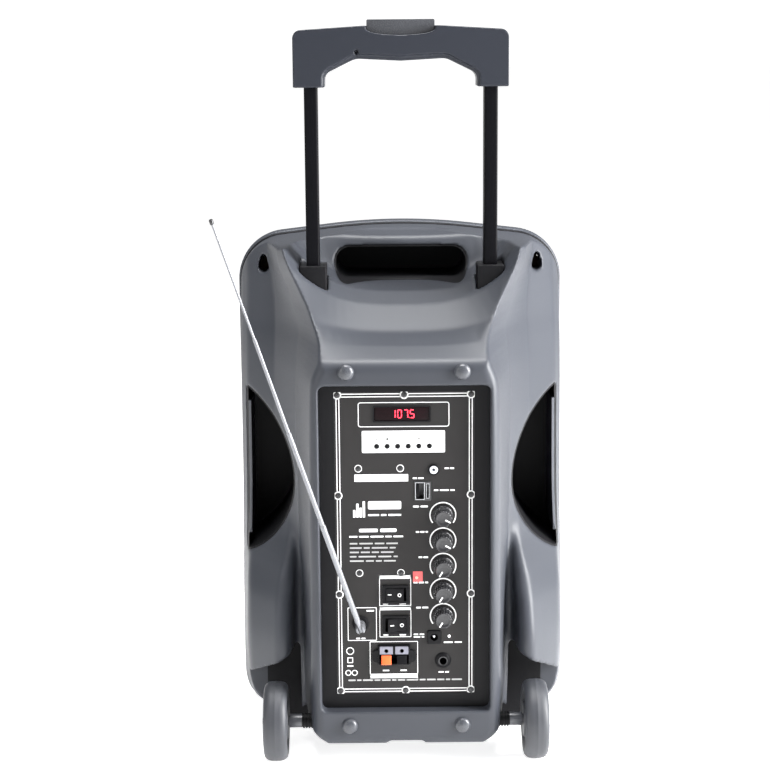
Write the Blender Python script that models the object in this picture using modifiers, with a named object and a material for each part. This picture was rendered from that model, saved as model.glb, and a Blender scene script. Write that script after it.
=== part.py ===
"""Party speaker on wheels with a telescopic handle, as separate sub-parts.

Metres, +Z up. The control panel faces -Y, the loudspeaker grille faces +Y, the floor is z = 0.
"""
import math

import bmesh
import bpy
from mathutils import Matrix, Vector

# ---------------------------------------------------------------- driving dimensions
GAP = 0.0003             # clearance left between pieces that touch
WALL = 0.003             # moulded wall of the rear cabinet

HALF_WIDTH = 0.1495      # front bezel
SHELL_HALF = 0.1465      # rear cabinet where it meets the bezel
TOP_Z = 0.4445           # crown of the bezel's arched top
SHOULDER_Z = 0.433       # bezel top above its corner arcs
BOTTOM_Z = 0.010
TOP_RADIUS = 0.045
BOTTOM_RADIUS = 0.030
FRONT_Y = 0.148
SEAM_Y = 0.122           # joint between bezel and rear cabinet
REAR_Y = -0.090          # rear face of the central spine

PANEL_Y = -0.078         # outer face of the control panel
PANEL_THICK = 0.0022
PANEL_HALF = 0.0655
PANEL_Z = (0.0565, 0.3285)
RECESS_HALF = 0.0715
RECESS_Z = (0.0485, 0.3305)

WOOFER_Z = 0.166
WOOFER_RADIUS = 0.127    # ten-inch driver
TWEETER_Z = 0.366
TWEETER_RADIUS = 0.044

WHEEL_RADIUS = 0.034
WHEEL_X = (0.1010, 0.1220)
AXLE_Y = -0.070
AXLE_RADIUS = 0.004
STUB_RADIUS = 0.0058

POLE_X = 0.0760
POLE_SIZE = (0.0114, 0.0200)
POLE_BOTTOM = 0.290
COLLAR_Z = (0.3930, 0.4210)
GUIDE_BOTTOM = 0.140
GRIP_Z = (0.5713, 0.6215)
GRIP_HALF = 0.0905
GRIP_DEPTH = 0.032
LEG_WIDTH = 0.0265

KNOB_X = 0.0320
KNOB_TOP_Z = 0.2180
KNOB_PITCH = 0.0221
KNOB_RADIUS = 0.0086
KEY_X0 = -0.0231
KEY_PITCH = 0.0088
KEY_Z = 0.2775
ROCKER_X = -0.0081
ROCKER_Z = (0.1493, 0.1224)
ROCKER_TILT = 8.0        # degrees either side of level
AERIAL = (-0.0380, 0.1235)
AERIAL_PIVOT_Y = -0.0935
AERIAL_SWING = 17.8      # degrees, about Y, away from the vertical
AERIAL_LEAN = 8.0        # degrees, out from the panel
TERMINAL = (-0.0098, 0.0958)

# Plan of the rear cabinet at several heights, as control points of the right half:
# height, start of the cheek, shoulder and knee of the cheek, valley beside the spine, rear corner of the spine
PLAN = (
    (0.010, 0.060, (0.1270, 0.048), (0.1020, 0.010), (0.0780, 0.018), 0.0640),
    (0.019, 0.058, (0.1300, 0.030), (0.1030, -0.018), (0.0810, 0.016), 0.0670),
    (0.023, 0.057, (0.1320, 0.020), (0.1030, -0.034), (0.0870, 0.014), 0.0730),
    (0.031, 0.056, (0.1345, 0.008), (0.1025, -0.050), (0.0915, 0.012), 0.0790),
    (0.060, 0.054, (0.1370, -0.016), (0.1015, -0.066), (0.0920, 0.006), 0.0795),
    (0.095, 0.055, (0.1380, -0.022), (0.1010, -0.070), (0.0920, 0.000), 0.0795),
    (0.130, 0.059, (0.1380, -0.010), (0.1005, -0.062), (0.0915, -0.006), 0.0795),
    (0.155, 0.066, (0.1380, 0.012), (0.1000, -0.044), (0.0910, -0.012), 0.0790),
    (0.185, 0.073, (0.1385, 0.034), (0.1010, -0.014), (0.0910, -0.018), 0.0787),
    (0.220, 0.078, (0.1390, 0.050), (0.1070, 0.005), (0.0920, -0.020), 0.0784),
    (0.300, 0.082, (0.1390, 0.058), (0.1130, 0.020), (0.0925, -0.020), 0.0775),
    (0.330, 0.085, (0.1390, 0.064), (0.1130, 0.028), (0.0920, -0.019), 0.0765),
    (0.350, 0.090, (0.1390, 0.070), (0.1125, 0.036), (0.0905, -0.015), 0.0690),
    (0.365, 0.097, (0.1390, 0.078), (0.1125, 0.045), (0.0895, -0.010), 0.0620),
    (0.385, 0.105, (0.1390, 0.086), (0.1130, 0.054), (0.0935, -0.004), 0.0590),
    (0.400, 0.112, (0.1390, 0.092), (0.1150, 0.062), (0.0985, 0.000), 0.0640),
    (0.430, 0.120, (0.1400, 0.104), (0.1200, 0.080), (0.1080, 0.010), 0.0780),
    (0.470, 0.120, (0.1400, 0.104), (0.1200, 0.080), (0.1080, 0.010), 0.0780),
)
PLAN_RADII = (0.040, 0.030, 0.008, 0.005, 0.010)

# Side view of the cabinet, (y, z) and corner radius, from the bezel over the top to the spine's foot
SIDE = (
    ((SEAM_Y, 0.4600), 0.0), ((0.1000, 0.4450), 0.020), ((0.0880, 0.4395), 0.010), ((0.0740, 0.4425), 0.008),
    ((0.0560, 0.4390), 0.008), ((0.0400, 0.4035), 0.012), ((0.0000, 0.3975), 0.020), ((-0.0200, 0.3880), 0.020),
    ((-0.0420, 0.3680), 0.020), ((-0.0660, 0.3605), 0.020), ((REAR_Y, 0.3490), 0.012), ((REAR_Y, 0.0190), 0.006),
    ((-0.0300, 0.0170), 0.020), ((SEAM_Y, 0.0080), 0.0),
)
SCOOP_LIFT = 0.029       # how much the scoop rises from its middle to 90 mm out
SCOOP_X = (-0.160, -0.108, -0.095, -0.080, -0.060, -0.035, 0.0, 0.035, 0.060, 0.080, 0.095, 0.108, 0.160)

for old in list(bpy.data.objects):
    bpy.data.objects.remove(old, do_unlink=True)
PARTS = bpy.data.collections.new("party_speaker")
CUTTERS = bpy.data.collections.new("cutters")
bpy.context.scene.collection.children.link(PARTS)
bpy.context.scene.collection.children.link(CUTTERS)


# ---------------------------------------------------------------- materials
def material(name, colour, roughness, metallic=0.0):
    """A Principled material with a base colour, roughness and metallic value."""
    made = bpy.data.materials.new(name)
    made.use_nodes = True
    shader = made.node_tree.nodes["Principled BSDF"]
    shader.inputs["Base Color"].default_value = (*colour, 1.0)
    shader.inputs["Roughness"].default_value = roughness
    shader.inputs["Metallic"].default_value = metallic
    return made


CASE = material("case_plastic", (0.13, 0.135, 0.15), 0.5)
LINER = material("liner_plastic", (0.012, 0.012, 0.013), 0.6)
BLACK = material("black_plastic", (0.02, 0.02, 0.021), 0.45)
PANEL_PAINT = material("panel_paint", (0.035, 0.034, 0.034), 0.5)
GREY = material("grey_plastic", (0.16, 0.165, 0.18), 0.45)
WHEEL_GREY = material("wheel_rubber", (0.12, 0.125, 0.135), 0.7)
RUBBER = material("rubber", (0.07, 0.072, 0.08), 0.75)
POLE_BLACK = material("pole_coating", (0.006, 0.006, 0.007), 0.35, 0.6)
STEEL = material("steel", (0.55, 0.56, 0.58), 0.3, 1.0)
CHROME = material("chrome", (0.8, 0.81, 0.83), 0.12, 1.0)
RED = material("red_plastic", (0.75, 0.09, 0.03), 0.4)
WINDOW = material("display_window", (0.02, 0.004, 0.004), 0.12)
BOARD = material("board", (0.03, 0.16, 0.07), 0.6)
WOOD = material("baffle_board", (0.2, 0.12, 0.06), 0.8)
CONE = material("paper_cone", (0.02, 0.02, 0.02), 0.85)
LAMP = material("light_ring", (0.75, 0.76, 0.8), 0.3)


# ---------------------------------------------------------------- outlines
def rounded(points, radii, steps, closed):
    """Replace the corners of an outline with arcs of a given radius; radius 0 keeps the corner."""
    count = len(points)
    result = []
    for index, point in enumerate(points):
        radius = radii[index]
        here = Vector(point)
        if radius <= 0.0 or (not closed and index in (0, count - 1)):
            result.append(tuple(here))
            continue
        before = Vector(points[index - 1]) - here
        after = Vector(points[(index + 1) % count]) - here
        half = before.angle(after) / 2.0
        reach = min(radius / math.tan(half), 0.46 * before.length, 0.46 * after.length)
        radius = reach * math.tan(half)
        before.normalize()
        after.normalize()
        centre = here + (before + after).normalized() * (radius / math.sin(half))
        start = here + before * reach - centre
        turn = Vector(start).angle_signed(here + after * reach - centre)
        for step in range(steps + 1):
            angle = -turn * step / steps
            x = start.x * math.cos(angle) - start.y * math.sin(angle)
            y = start.x * math.sin(angle) + start.y * math.cos(angle)
            result.append((centre.x + x, centre.y + y))
    return result


def box_outline(x0, x1, y0, y1, radius, steps=3):
    """A rectangle with round corners."""
    corners = [(x0, y0), (x1, y0), (x1, y1), (x0, y1)]
    return rounded(corners, [radius] * 4, steps, True)


def circle_outline(x, y, radius, count):
    """A regular polygon standing for a circle."""
    return [(x + radius * math.cos(2 * math.pi * i / count), y + radius * math.sin(2 * math.pi * i / count))
            for i in range(count)]


def front_outline(inset, steps=5):
    """The bezel's outline seen from the back: round corners and a slightly arched top."""
    half = HALF_WIDTH - inset
    top = SHOULDER_Z - inset
    crown = TOP_Z - inset
    low = BOTTOM_Z + inset
    corners = [(-half, low), (half, low), (half, top), (0.0, crown + 0.006), (-half, top)]
    radii = [BOTTOM_RADIUS - inset, BOTTOM_RADIUS - inset, TOP_RADIUS - inset, 0.55, TOP_RADIUS - inset]
    return rounded(corners, radii, steps, True)


# ---------------------------------------------------------------- making objects
def place(mesh, name, finish, collection=PARTS, origin=(0.0, 0.0, 0.0), smooth=True):
    """Make an object from a mesh, with its own origin, in a collection."""
    thing = bpy.data.objects.new(name, mesh)
    collection.objects.link(thing)
    mesh.transform(Matrix.Translation(-Vector(origin)))
    thing.location = origin
    if finish is not None:
        mesh.materials.append(finish)
    if smooth:
        mesh.shade_smooth()
        mesh.set_sharp_from_angle(angle=math.radians(30))
    if collection is CUTTERS:
        thing.hide_render = True
        thing.display_type = "WIRE"
    return thing


AXIS_TURN = {
    "Z": Matrix.Identity(4),
    # outline (x, z) laid in the XZ plane, thickness along Y
    "Y": Matrix(((1, 0, 0, 0), (0, 0, -1, 0), (0, 1, 0, 0), (0, 0, 0, 1))),
    # outline (y, z) laid in the YZ plane, thickness along X
    "X": Matrix(((0, 0, 1, 0), (1, 0, 0, 0), (0, 1, 0, 0), (0, 0, 0, 1))),
}


def plate_mesh(outlines, axis, low, high):
    """A flat outline, with holes if more than one is given, made thick along an axis."""
    curve = bpy.data.curves.new("outline", "CURVE")
    curve.dimensions = "2D"
    curve.fill_mode = "BOTH"
    curve.extrude = (high - low) / 2.0
    for outline in outlines:
        spline = curve.splines.new("POLY")
        spline.points.add(len(outline) - 1)
        for point, (u, v) in zip(spline.points, outline):
            point.co = (u, v, 0.0, 1.0)
        spline.use_cyclic_u = True
    holder = bpy.data.objects.new("outline", curve)
    bpy.context.scene.collection.objects.link(holder)
    bpy.context.view_layer.update()
    graph = bpy.context.evaluated_depsgraph_get()
    mesh = bpy.data.meshes.new_from_object(holder.evaluated_get(graph))
    bpy.data.objects.remove(holder, do_unlink=True)
    bpy.data.curves.remove(curve)
    work = bmesh.new()
    work.from_mesh(mesh)
    bmesh.ops.remove_doubles(work, verts=work.verts, dist=0.000002)
    bmesh.ops.recalc_face_normals(work, faces=work.faces)
    work.to_mesh(mesh)
    work.free()
    middle = (low + high) / 2.0
    shift = {"X": (middle, 0, 0), "Y": (0, middle, 0), "Z": (0, 0, middle)}[axis]
    mesh.transform(Matrix.Translation(shift) @ AXIS_TURN[axis])
    return mesh


def plate(name, finish, outlines, axis, low, high, collection=PARTS, origin=(0.0, 0.0, 0.0), bevel=0.0):
    """An object cut from a plate; bevel rounds its sharp edges."""
    thing = place(plate_mesh(outlines, axis, low, high), name, finish, collection, origin)
    if bevel > 0.0:
        add_bevel(thing, bevel)
    return thing


def add_bevel(thing, width, segments=2):
    """Round the edges that turn by more than 40 degrees."""
    bevel = thing.modifiers.new("rounded_edges", "BEVEL")
    bevel.width = width
    bevel.segments = segments
    bevel.limit_method = "ANGLE"
    bevel.angle_limit = math.radians(40)
    bevel.use_clamp_overlap = True


def block(name, finish, low, high, collection=PARTS, bevel=0.0, origin=None):
    """A box between two corners."""
    work = bmesh.new()
    bmesh.ops.create_cube(work, size=1.0)
    size = [high[i] - low[i] for i in range(3)]
    middle = [(high[i] + low[i]) / 2.0 for i in range(3)]
    bmesh.ops.scale(work, vec=size, verts=work.verts)
    bmesh.ops.translate(work, vec=middle, verts=work.verts)
    mesh = bpy.data.meshes.new(name)
    work.to_mesh(mesh)
    work.free()
    thing = place(mesh, name, finish, collection, middle if origin is None else origin)
    if bevel > 0.0:
        add_bevel(thing, bevel)
    return thing


def turned_mesh(profile, sides, axis, centre):
    """Turn a profile of (radius, along) points into a closed mesh round an axis through a point.

    The profile starts and ends on the axis, or is a closed ring when it stays off it.
    """
    mesh = bpy.data.meshes.new("profile")
    on_axis = abs(profile[0][0]) < 1e-9
    points = [(radius, 0.0, along) for radius, along in profile]
    edges = [(i, i + 1) for i in range(len(points) - 1)]
    if not on_axis:
        edges.append((len(points) - 1, 0))
    mesh.from_pydata(points, edges, [])
    holder = bpy.data.objects.new("profile", mesh)
    bpy.context.scene.collection.objects.link(holder)
    screw = holder.modifiers.new("turn", "SCREW")
    screw.angle = 2.0 * math.pi
    screw.steps = sides
    screw.render_steps = sides
    screw.use_merge_vertices = True
    screw.merge_threshold = 0.00001
    bpy.context.view_layer.update()
    graph = bpy.context.evaluated_depsgraph_get()
    result = bpy.data.meshes.new_from_object(holder.evaluated_get(graph))
    bpy.data.objects.remove(holder, do_unlink=True)
    work = bmesh.new()
    work.from_mesh(result)
    bmesh.ops.remove_doubles(work, verts=work.verts, dist=0.000005)
    bmesh.ops.recalc_face_normals(work, faces=work.faces)
    work.to_mesh(result)
    work.free()
    turn = {"Z": Matrix.Identity(4), "Y": Matrix.Rotation(math.radians(-90), 4, "X"),
            "X": Matrix.Rotation(math.radians(90), 4, "Y")}[axis]
    result.transform(Matrix.Translation(centre) @ turn)
    return result


def turned(name, finish, profile, sides, axis, centre, collection=PARTS):
    """A turned object whose origin is the given centre."""
    return place(turned_mesh(profile, sides, axis, centre), name, finish, collection, centre)


def rod(name, finish, radius, sides, axis, low, high, across, collection=PARTS):
    """A plain cylinder along an axis between two places; across gives the other two coordinates."""
    profile = [(0.0, high), (radius, high), (radius, low), (0.0, low)]
    centre = {"X": (0.0, *across), "Y": (across[0], 0.0, across[1]), "Z": (*across, 0.0)}[axis]
    return place(turned_mesh(profile, sides, axis, centre), name, finish, collection, centre)


def boolean(thing, cutter, operation="DIFFERENCE"):
    """Cut, join or intersect with another object."""
    cut = thing.modifiers.new("shape_" + cutter.name, "BOOLEAN")
    cut.operation = operation
    cut.object = cutter
    cut.solver = "EXACT"


# ---------------------------------------------------------------- rear cabinet
def inset_path(points, distance):
    """Move an open outline to its right-hand side; its last point keeps its first coordinate."""
    lines = []
    for first, second in zip(points, points[1:]):
        direction = (Vector(second) - Vector(first)).normalized()
        normal = Vector((direction.y, -direction.x)) * distance
        lines.append((Vector(first) + normal, direction))
    moved = [tuple(lines[0][0])]
    for (start, along), (other, across) in zip(lines, lines[1:]):
        share = (other - start).cross(across) / along.cross(across)
        moved.append(tuple(start + along * share))
    last = Vector(points[-1])
    moved.append((last.x, moved[-1][1]))
    return moved


def plan_ring(station, inset, steps):
    """One horizontal section of the cabinet, both halves, as a closed ring of (x, y)."""
    _, cheek_y, shoulder, knee, valley, corner_x = station
    half = [(SHELL_HALF, SEAM_Y), (SHELL_HALF, cheek_y), shoulder, knee, valley, (corner_x, REAR_Y), (0.0, REAR_Y)]
    if inset > 0.0:
        half = inset_path(half, inset)
    radii = [0.0, *[max(radius - inset, 0.002) for radius in PLAN_RADII], 0.0]
    right = rounded(half, radii, steps, False)
    left = [(-x, y) for x, y in reversed(right[:-1])]
    return right + left


def loft_mesh(name, sections):
    """Skin closed sections of equal length into one closed body."""
    work = bmesh.new()
    rings = [[work.verts.new(point) for point in section] for section in sections]
    for first, second in zip(rings, rings[1:]):
        count = len(first)
        for i in range(count):
            j = (i + 1) % count
            work.faces.new((first[i], first[j], second[j], second[i]))
    work.faces.new(rings[0])
    work.faces.new(rings[-1])
    bmesh.ops.recalc_face_normals(work, faces=work.faces)
    bmesh.ops.triangulate(work, faces=work.faces)
    mesh = bpy.data.meshes.new(name)
    work.to_mesh(mesh)
    work.free()
    return mesh


def plan_mesh(inset, steps, reach):
    """Loft the horizontal sections."""
    sections = []
    for station in PLAN:
        sections.append([(x, y + reach, station[0]) for x, y in plan_ring(station, inset, steps)])
    return loft_mesh("plan", sections)


def side_outline(inset, steps):
    """The side view as a closed outline, moved inwards by the wall."""
    points = [point for point, _ in SIDE]
    if inset > 0.0:
        points = inset_path(points, -inset)
        points[0] = (SEAM_Y, SIDE[0][0][1] - inset)
        points[-1] = (SEAM_Y, SIDE[-1][0][1] + inset)
    return rounded(points, [radius for _, radius in SIDE], steps, False)


def scoop_lift(x, y, z):
    """Height that the scooped top gains towards the shoulders, fading out at the rear face."""
    across = min(abs(x) / 0.090, 1.2) ** 3
    across *= 1.0 - 0.7 * min(max((y - 0.042) / 0.014, 0.0), 1.0)
    along = min(max((y - REAR_Y) / 0.070, 0.0), 1.0)
    above = min(max((z - 0.300) / 0.040, 0.0), 1.0)
    return SCOOP_LIFT * across * along * along * (3.0 - 2.0 * along) * above


def side_mesh(inset, steps, reach):
    """Loft the side view across the cabinet, raised towards the shoulders."""
    outline = side_outline(inset, steps)
    sections = []
    for x in SCOOP_X:
        sections.append([(x, y + reach, z + scoop_lift(x, y, z)) for y, z in outline])
    return loft_mesh("side", sections)


def cabinet_solid(name, inset, steps, reach):
    """The full cabinet form: plan, side view and front outline where all three agree."""
    body = place(plan_mesh(inset, steps, reach), name, CASE, CUTTERS)
    side = place(side_mesh(inset, steps, reach), name + "_side", CASE, CUTTERS)
    face = plate(name + "_face", CASE, [front_outline(HALF_WIDTH - SHELL_HALF + inset, 4)], "Y", -0.2,
                 SEAM_Y + reach + 0.01, CUTTERS)
    boolean(body, side, "INTERSECT")
    boolean(body, face, "INTERSECT")
    return body


def side_pocket_outline(sign, grow):
    """Half-moon of a side grip pocket: straight at the outer wall, round towards the spine."""
    outer, inner, low, high = 0.1385, 0.0955, 0.163, 0.303
    radius = ((high - low) ** 2 / 4.0 + (outer - inner) ** 2) / (2.0 * (outer - inner))
    middle = (low + high) / 2.0
    half_angle = math.asin((high - low) / 2.0 / radius)
    centre = inner + radius
    arc = []
    for step in range(9):
        angle = half_angle * (1.0 - step / 4.0)
        arc.append((centre - (radius + grow) * math.cos(angle), middle + (radius + grow) * math.sin(angle)))
    top = arc[0][1]
    bottom = arc[-1][1]
    outline = [(outer + grow, top), *arc, (outer + grow, bottom)]
    return [(sign * x, z) for x, z in outline]


def well_outline(x, z):
    """Teardrop mouth of a screw well, wide below and narrow above."""
    wide, narrow, rise = 0.0052, 0.0026, 0.0085
    below = [(x + wide * math.cos(a), z + wide * math.sin(a)) for a in
             [math.radians(angle) for angle in range(-195, 16, 30)]]
    above = [(x + narrow * math.cos(a), z + rise + narrow * math.sin(a)) for a in
             [math.radians(angle) for angle in (15, 90, 165)]]
    return below + above


def top_pocket_outline(grow):
    """Mouth of the top grip pocket: flat above, round below."""
    half, low, high = 0.0575, 0.4035, 0.4300
    corners = [(-half - grow, low - grow), (half + grow, low - grow), (half + grow, high + grow),
               (-half - grow, high + grow)]
    return rounded(corners, [0.018, 0.018, 0.012, 0.012], 3, True)


def pole_holes(grow):
    """Outline of one pole or a hole for it."""
    def outline(side):
        x = side * POLE_X
        wide = POLE_SIZE[0] / 2.0 + grow
        deep = POLE_SIZE[1] / 2.0 + grow
        return box_outline(x - wide, x + wide, -deep, deep, 0.0018 + grow / 2.0, 2)
    return outline


def wheel_well(name, sign, grow):
    """Cutter for the wheel well: its roof drops outwards, and it ends in a wall in front of the wheel."""
    half = [(0.0915 - grow, -0.020), (0.0915 - grow, 0.0935 + grow), (0.1040, 0.0850 + grow), (0.1225, 0.0715 + grow),
            (0.1600, 0.0400 + grow), (0.1600, -0.020)]
    outline = rounded([(sign * x, z) for x, z in half], [0.0, 0.006, 0.015, 0.015, 0.0, 0.0], 3, True)
    return plate(name, CASE, [outline], "Y", REAR_Y - 0.02, grow, CUTTERS)


def make_cabinet():
    """The moulded rear cabinet with all its openings."""
    shell = cabinet_solid("rear_cabinet", 0.0, 2, 0.0)
    CUTTERS.objects.unlink(shell)
    PARTS.objects.link(shell)
    shell.hide_render = False
    shell.display_type = "TEXTURED"
    inner = cabinet_solid("cavity", WALL, 1, 0.001)
    for sign, side in ((1, "right"), (-1, "left")):
        boolean(inner, wheel_well("well_wall_" + side, sign, WALL))
    boolean(shell, inner)
    tray = plate("tray", CASE, [box_outline(-RECESS_HALF - 0.003, RECESS_HALF + 0.003, RECESS_Z[0] - 0.003,
                                            RECESS_Z[1] + 0.003, 0.008)],
                 "Y", REAR_Y + 0.0015, PANEL_Y + PANEL_THICK + 0.003, CUTTERS)
    boolean(shell, tray, "UNION")
    recess = plate("recess", CASE, [box_outline(-RECESS_HALF, RECESS_HALF, *RECESS_Z, 0.005)],
                   "Y", REAR_Y - 0.02, PANEL_Y + PANEL_THICK + GAP, CUTTERS)
    boolean(shell, recess)
    window = plate("panel_window", CASE, [box_outline(-0.0515, 0.0515, 0.069, 0.316, 0.004)],
                   "Y", REAR_Y - 0.02, PANEL_Y + 0.02, CUTTERS)
    boolean(shell, window)
    for sign, side in ((1, "right"), (-1, "left")):
        pocket = plate("pocket_cut_" + side, CASE, [side_pocket_outline(sign, 0.002 + GAP)], "Y", -0.20,
                       0.1025 + GAP, CUTTERS)
        boolean(shell, pocket)
        well = plate("well_" + side, CASE, [well_outline(sign * 0.1235, 0.4095)], "Y", 0.02, 0.110, CUTTERS)
        boolean(shell, well)
        boolean(shell, wheel_well("wheel_well_" + side, sign, 0.0))
        collar = block("collar_cut_" + side, CASE, (sign * POLE_X - 0.0118, -0.0158, COLLAR_Z[0] - GAP),
                       (sign * POLE_X + 0.0118, 0.0158, 0.470), CUTTERS)
        boolean(shell, collar)
    top = plate("top_pocket_cut", CASE, [top_pocket_outline(0.002 + GAP)], "Y", -0.10, 0.1125 + GAP, CUTTERS)
    boolean(shell, top)
    axle = rod("axle_hole", CASE, AXLE_RADIUS + 0.0004, 12, "X", -0.2, 0.2, (AXLE_Y, WHEEL_RADIUS), CUTTERS)
    boolean(shell, axle)
    notch = plate("foot_notch", CASE, [[(-0.0185, 0.0), (0.0185, 0.0), (0.0150, 0.0222), (-0.0150, 0.0222)]],
                  "Y", REAR_Y - 0.01, REAR_Y + 0.020, CUTTERS)
    boolean(shell, notch)
    for x in (-0.048, 0.048):
        for z in (0.3425, 0.0365):
            hole = rod(f"bumper_hole_{x}_{z}", CASE, 0.0022, 8, "Y", REAR_Y - 0.01, REAR_Y + 0.01, (x, z), CUTTERS)
            boolean(shell, hole)
    for x in (-0.105, 0.105):
        hole = rod(f"foot_hole_{x}", CASE, 0.0027, 8, "Z", -0.01, 0.03, (x, 0.100), CUTTERS)
        boolean(shell, hole)


def make_liners():
    """Black liners of the three grip pockets, flush with the cabinet's skin."""
    for sign, side in ((1, "right"), (-1, "left")):
        liner = plate("side_grip_liner_" + side, LINER, [side_pocket_outline(sign, 0.002)], "Y", -0.19, 0.1025)
        trim_liner(liner, plate("side_mouth_" + side, LINER, [side_pocket_outline(sign, 0.0)], "Y", -0.21, 0.1005,
                                CUTTERS))
    liner = plate("top_grip_liner", LINER, [top_pocket_outline(0.002)], "Y", -0.09, 0.1125)
    trim_liner(liner, plate("top_mouth", LINER, [top_pocket_outline(0.0)], "Y", -0.11, 0.1105, CUTTERS))


def trim_liner(liner, mouth):
    """Trim a liner to the cabinet's outer form and hollow it."""
    form = cabinet_solid(liner.name + "_form", 0.0006, 2, 0.0)
    boolean(liner, form, "INTERSECT")
    boolean(liner, mouth)


def make_front():
    """Bezel frame, grille, baffle board, drivers and light ring."""
    bezel = plate("front_bezel", CASE, [front_outline(0.0), front_outline(0.0135)], "Y", SEAM_Y + GAP, FRONT_Y)
    add_bevel(bezel, 0.002, 1)
    plate("front_grille", BLACK, [front_outline(0.0140)], "Y", 0.1400, 0.1415)
    woofer_hole = circle_outline(0.0, WOOFER_Z, 0.1095, 24)
    tweeter_hole = circle_outline(0.0, TWEETER_Z, TWEETER_RADIUS - 0.006, 20)
    plate("baffle_board", WOOD, [front_outline(0.0140), woofer_hole, tweeter_hole], "Y", 0.1180 + 0.0045, 0.1320)
    frame = [(0.0500, 0.0560), (0.0500, 0.0850), (0.0900, 0.1050), (0.1070, 0.1215), (0.1070, 0.1324),
             (0.1270, 0.1324), (0.1270, 0.1350), (0.1040, 0.1350), (0.1040, 0.1235), (0.0870, 0.1075),
             (0.0300, 0.0865), (0.0300, 0.0830), (0.0160, 0.0830), (0.0160, 0.0560)]
    turned("woofer_frame", BLACK, list(reversed(frame)), 24, "Y", (0.0, 0.0, WOOFER_Z))
    magnet = [(0.0, 0.0555), (0.0520, 0.0555), (0.0520, 0.0360), (0.0, 0.0360)]
    turned("woofer_magnet", STEEL, magnet, 20, "Y", (0.0, 0.0, WOOFER_Z))
    cone = [(0.0, 0.1120), (0.0250, 0.1045), (0.0340, 0.1010), (0.0830, 0.1290), (0.0900, 0.1335), (0.0980, 0.1335),
            (0.1030, 0.1300), (0.1030, 0.1285), (0.0975, 0.1315), (0.0905, 0.1315), (0.0830, 0.1265),
            (0.0340, 0.0985), (0.0150, 0.0985), (0.0150, 0.0880), (0.0, 0.0880)]
    turned("woofer_cone", CONE, cone, 24, "Y", (0.0, 0.0, WOOFER_Z))
    tweeter = [(0.0, 0.1180), (0.0110, 0.1160), (0.0160, 0.1140), (0.0340, 0.1345), (TWEETER_RADIUS, 0.1350),
               (TWEETER_RADIUS, 0.1323), (0.0365, 0.1323), (0.0300, 0.1150), (0.0300, 0.0920), (0.0, 0.0920)]
    turned("tweeter", BLACK, tweeter, 20, "Y", (0.0, 0.0, TWEETER_Z))
    ring = [(0.1290, 0.1325), (0.1290, 0.1375), (0.1345, 0.1375), (0.1345, 0.1325)]
    turned("light_ring", LAMP, ring, 28, "Y", (0.0, 0.0, WOOFER_Z))


# ---------------------------------------------------------------- handle
def grip_outline():
    """The grip seen from the back: two legs joined by a bar with an arched top."""
    low, high = GRIP_Z
    inner = GRIP_HALF - LEG_WIDTH
    half = [(GRIP_HALF, low), (GRIP_HALF, high - 0.003), (0.0, high + 0.0025), (-GRIP_HALF, high - 0.003),
            (-GRIP_HALF, low), (-inner, low), (-inner, low + 0.011), (-0.038, 0.5950), (0.0, 0.5930),
            (0.038, 0.5950), (inner, low + 0.011), (inner, low)]
    radii = [0.0, 0.007, 0.6, 0.007, 0.0, 0.0, 0.012, 0.016, 0.0, 0.016, 0.012, 0.0]
    return rounded(half, radii, 3, True)


def make_handle():
    """Grip, lock button, poles and the guides they slide in."""
    grip = plate("handle_grip", GREY, [grip_outline()], "Y", -GRIP_DEPTH / 2, GRIP_DEPTH / 2, bevel=0.003)
    for sign, side in ((1, "right"), (-1, "left")):
        outline = pole_holes(0.0)(sign)
        socket = plate("pole_socket_" + side, GREY, [pole_holes(GAP)(sign)], "Z", 0.50, 0.6003, CUTTERS)
        boolean(grip, socket)
        inner = [(x * 0.82 + sign * POLE_X * 0.18, y * 0.86) for x, y in outline]
        plate("handle_pole_" + side, POLE_BLACK, [outline, inner], "Z", POLE_BOTTOM, 0.6000)
        guide = block("pole_guide_" + side, BLACK, (sign * POLE_X - 0.0115, -0.0155, COLLAR_Z[0]),
                      (sign * POLE_X + 0.0115, 0.0155, COLLAR_Z[1]), bevel=0.001)
        sleeve = plate("sleeve_" + side, BLACK, [pole_holes(0.0019)(sign)], "Z", GUIDE_BOTTOM, COLLAR_Z[1] - 0.004,
                       CUTTERS)
        boolean(guide, sleeve, "UNION")
        bore = plate("guide_bore_" + side, BLACK, [pole_holes(GAP)(sign)], "Z", 0.10, 0.50, CUTTERS)
        boolean(guide, bore)
    pocket = block("button_pocket", GREY, (-0.0290, -0.0095, 0.6130), (0.0290, 0.0095, 0.6400), CUTTERS)
    boolean(grip, pocket)
    crown = [(-0.0285, 0.6180), (0.0285, 0.6180), (0.0285, 0.6250), (0.0245, 0.6275), (-0.0245, 0.6275),
             (-0.0285, 0.6250)]
    plate("lock_button", BLACK, [crown], "Y", -0.0090, 0.0090, origin=(0.0, 0.0, 0.6180), bevel=0.001)


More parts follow.
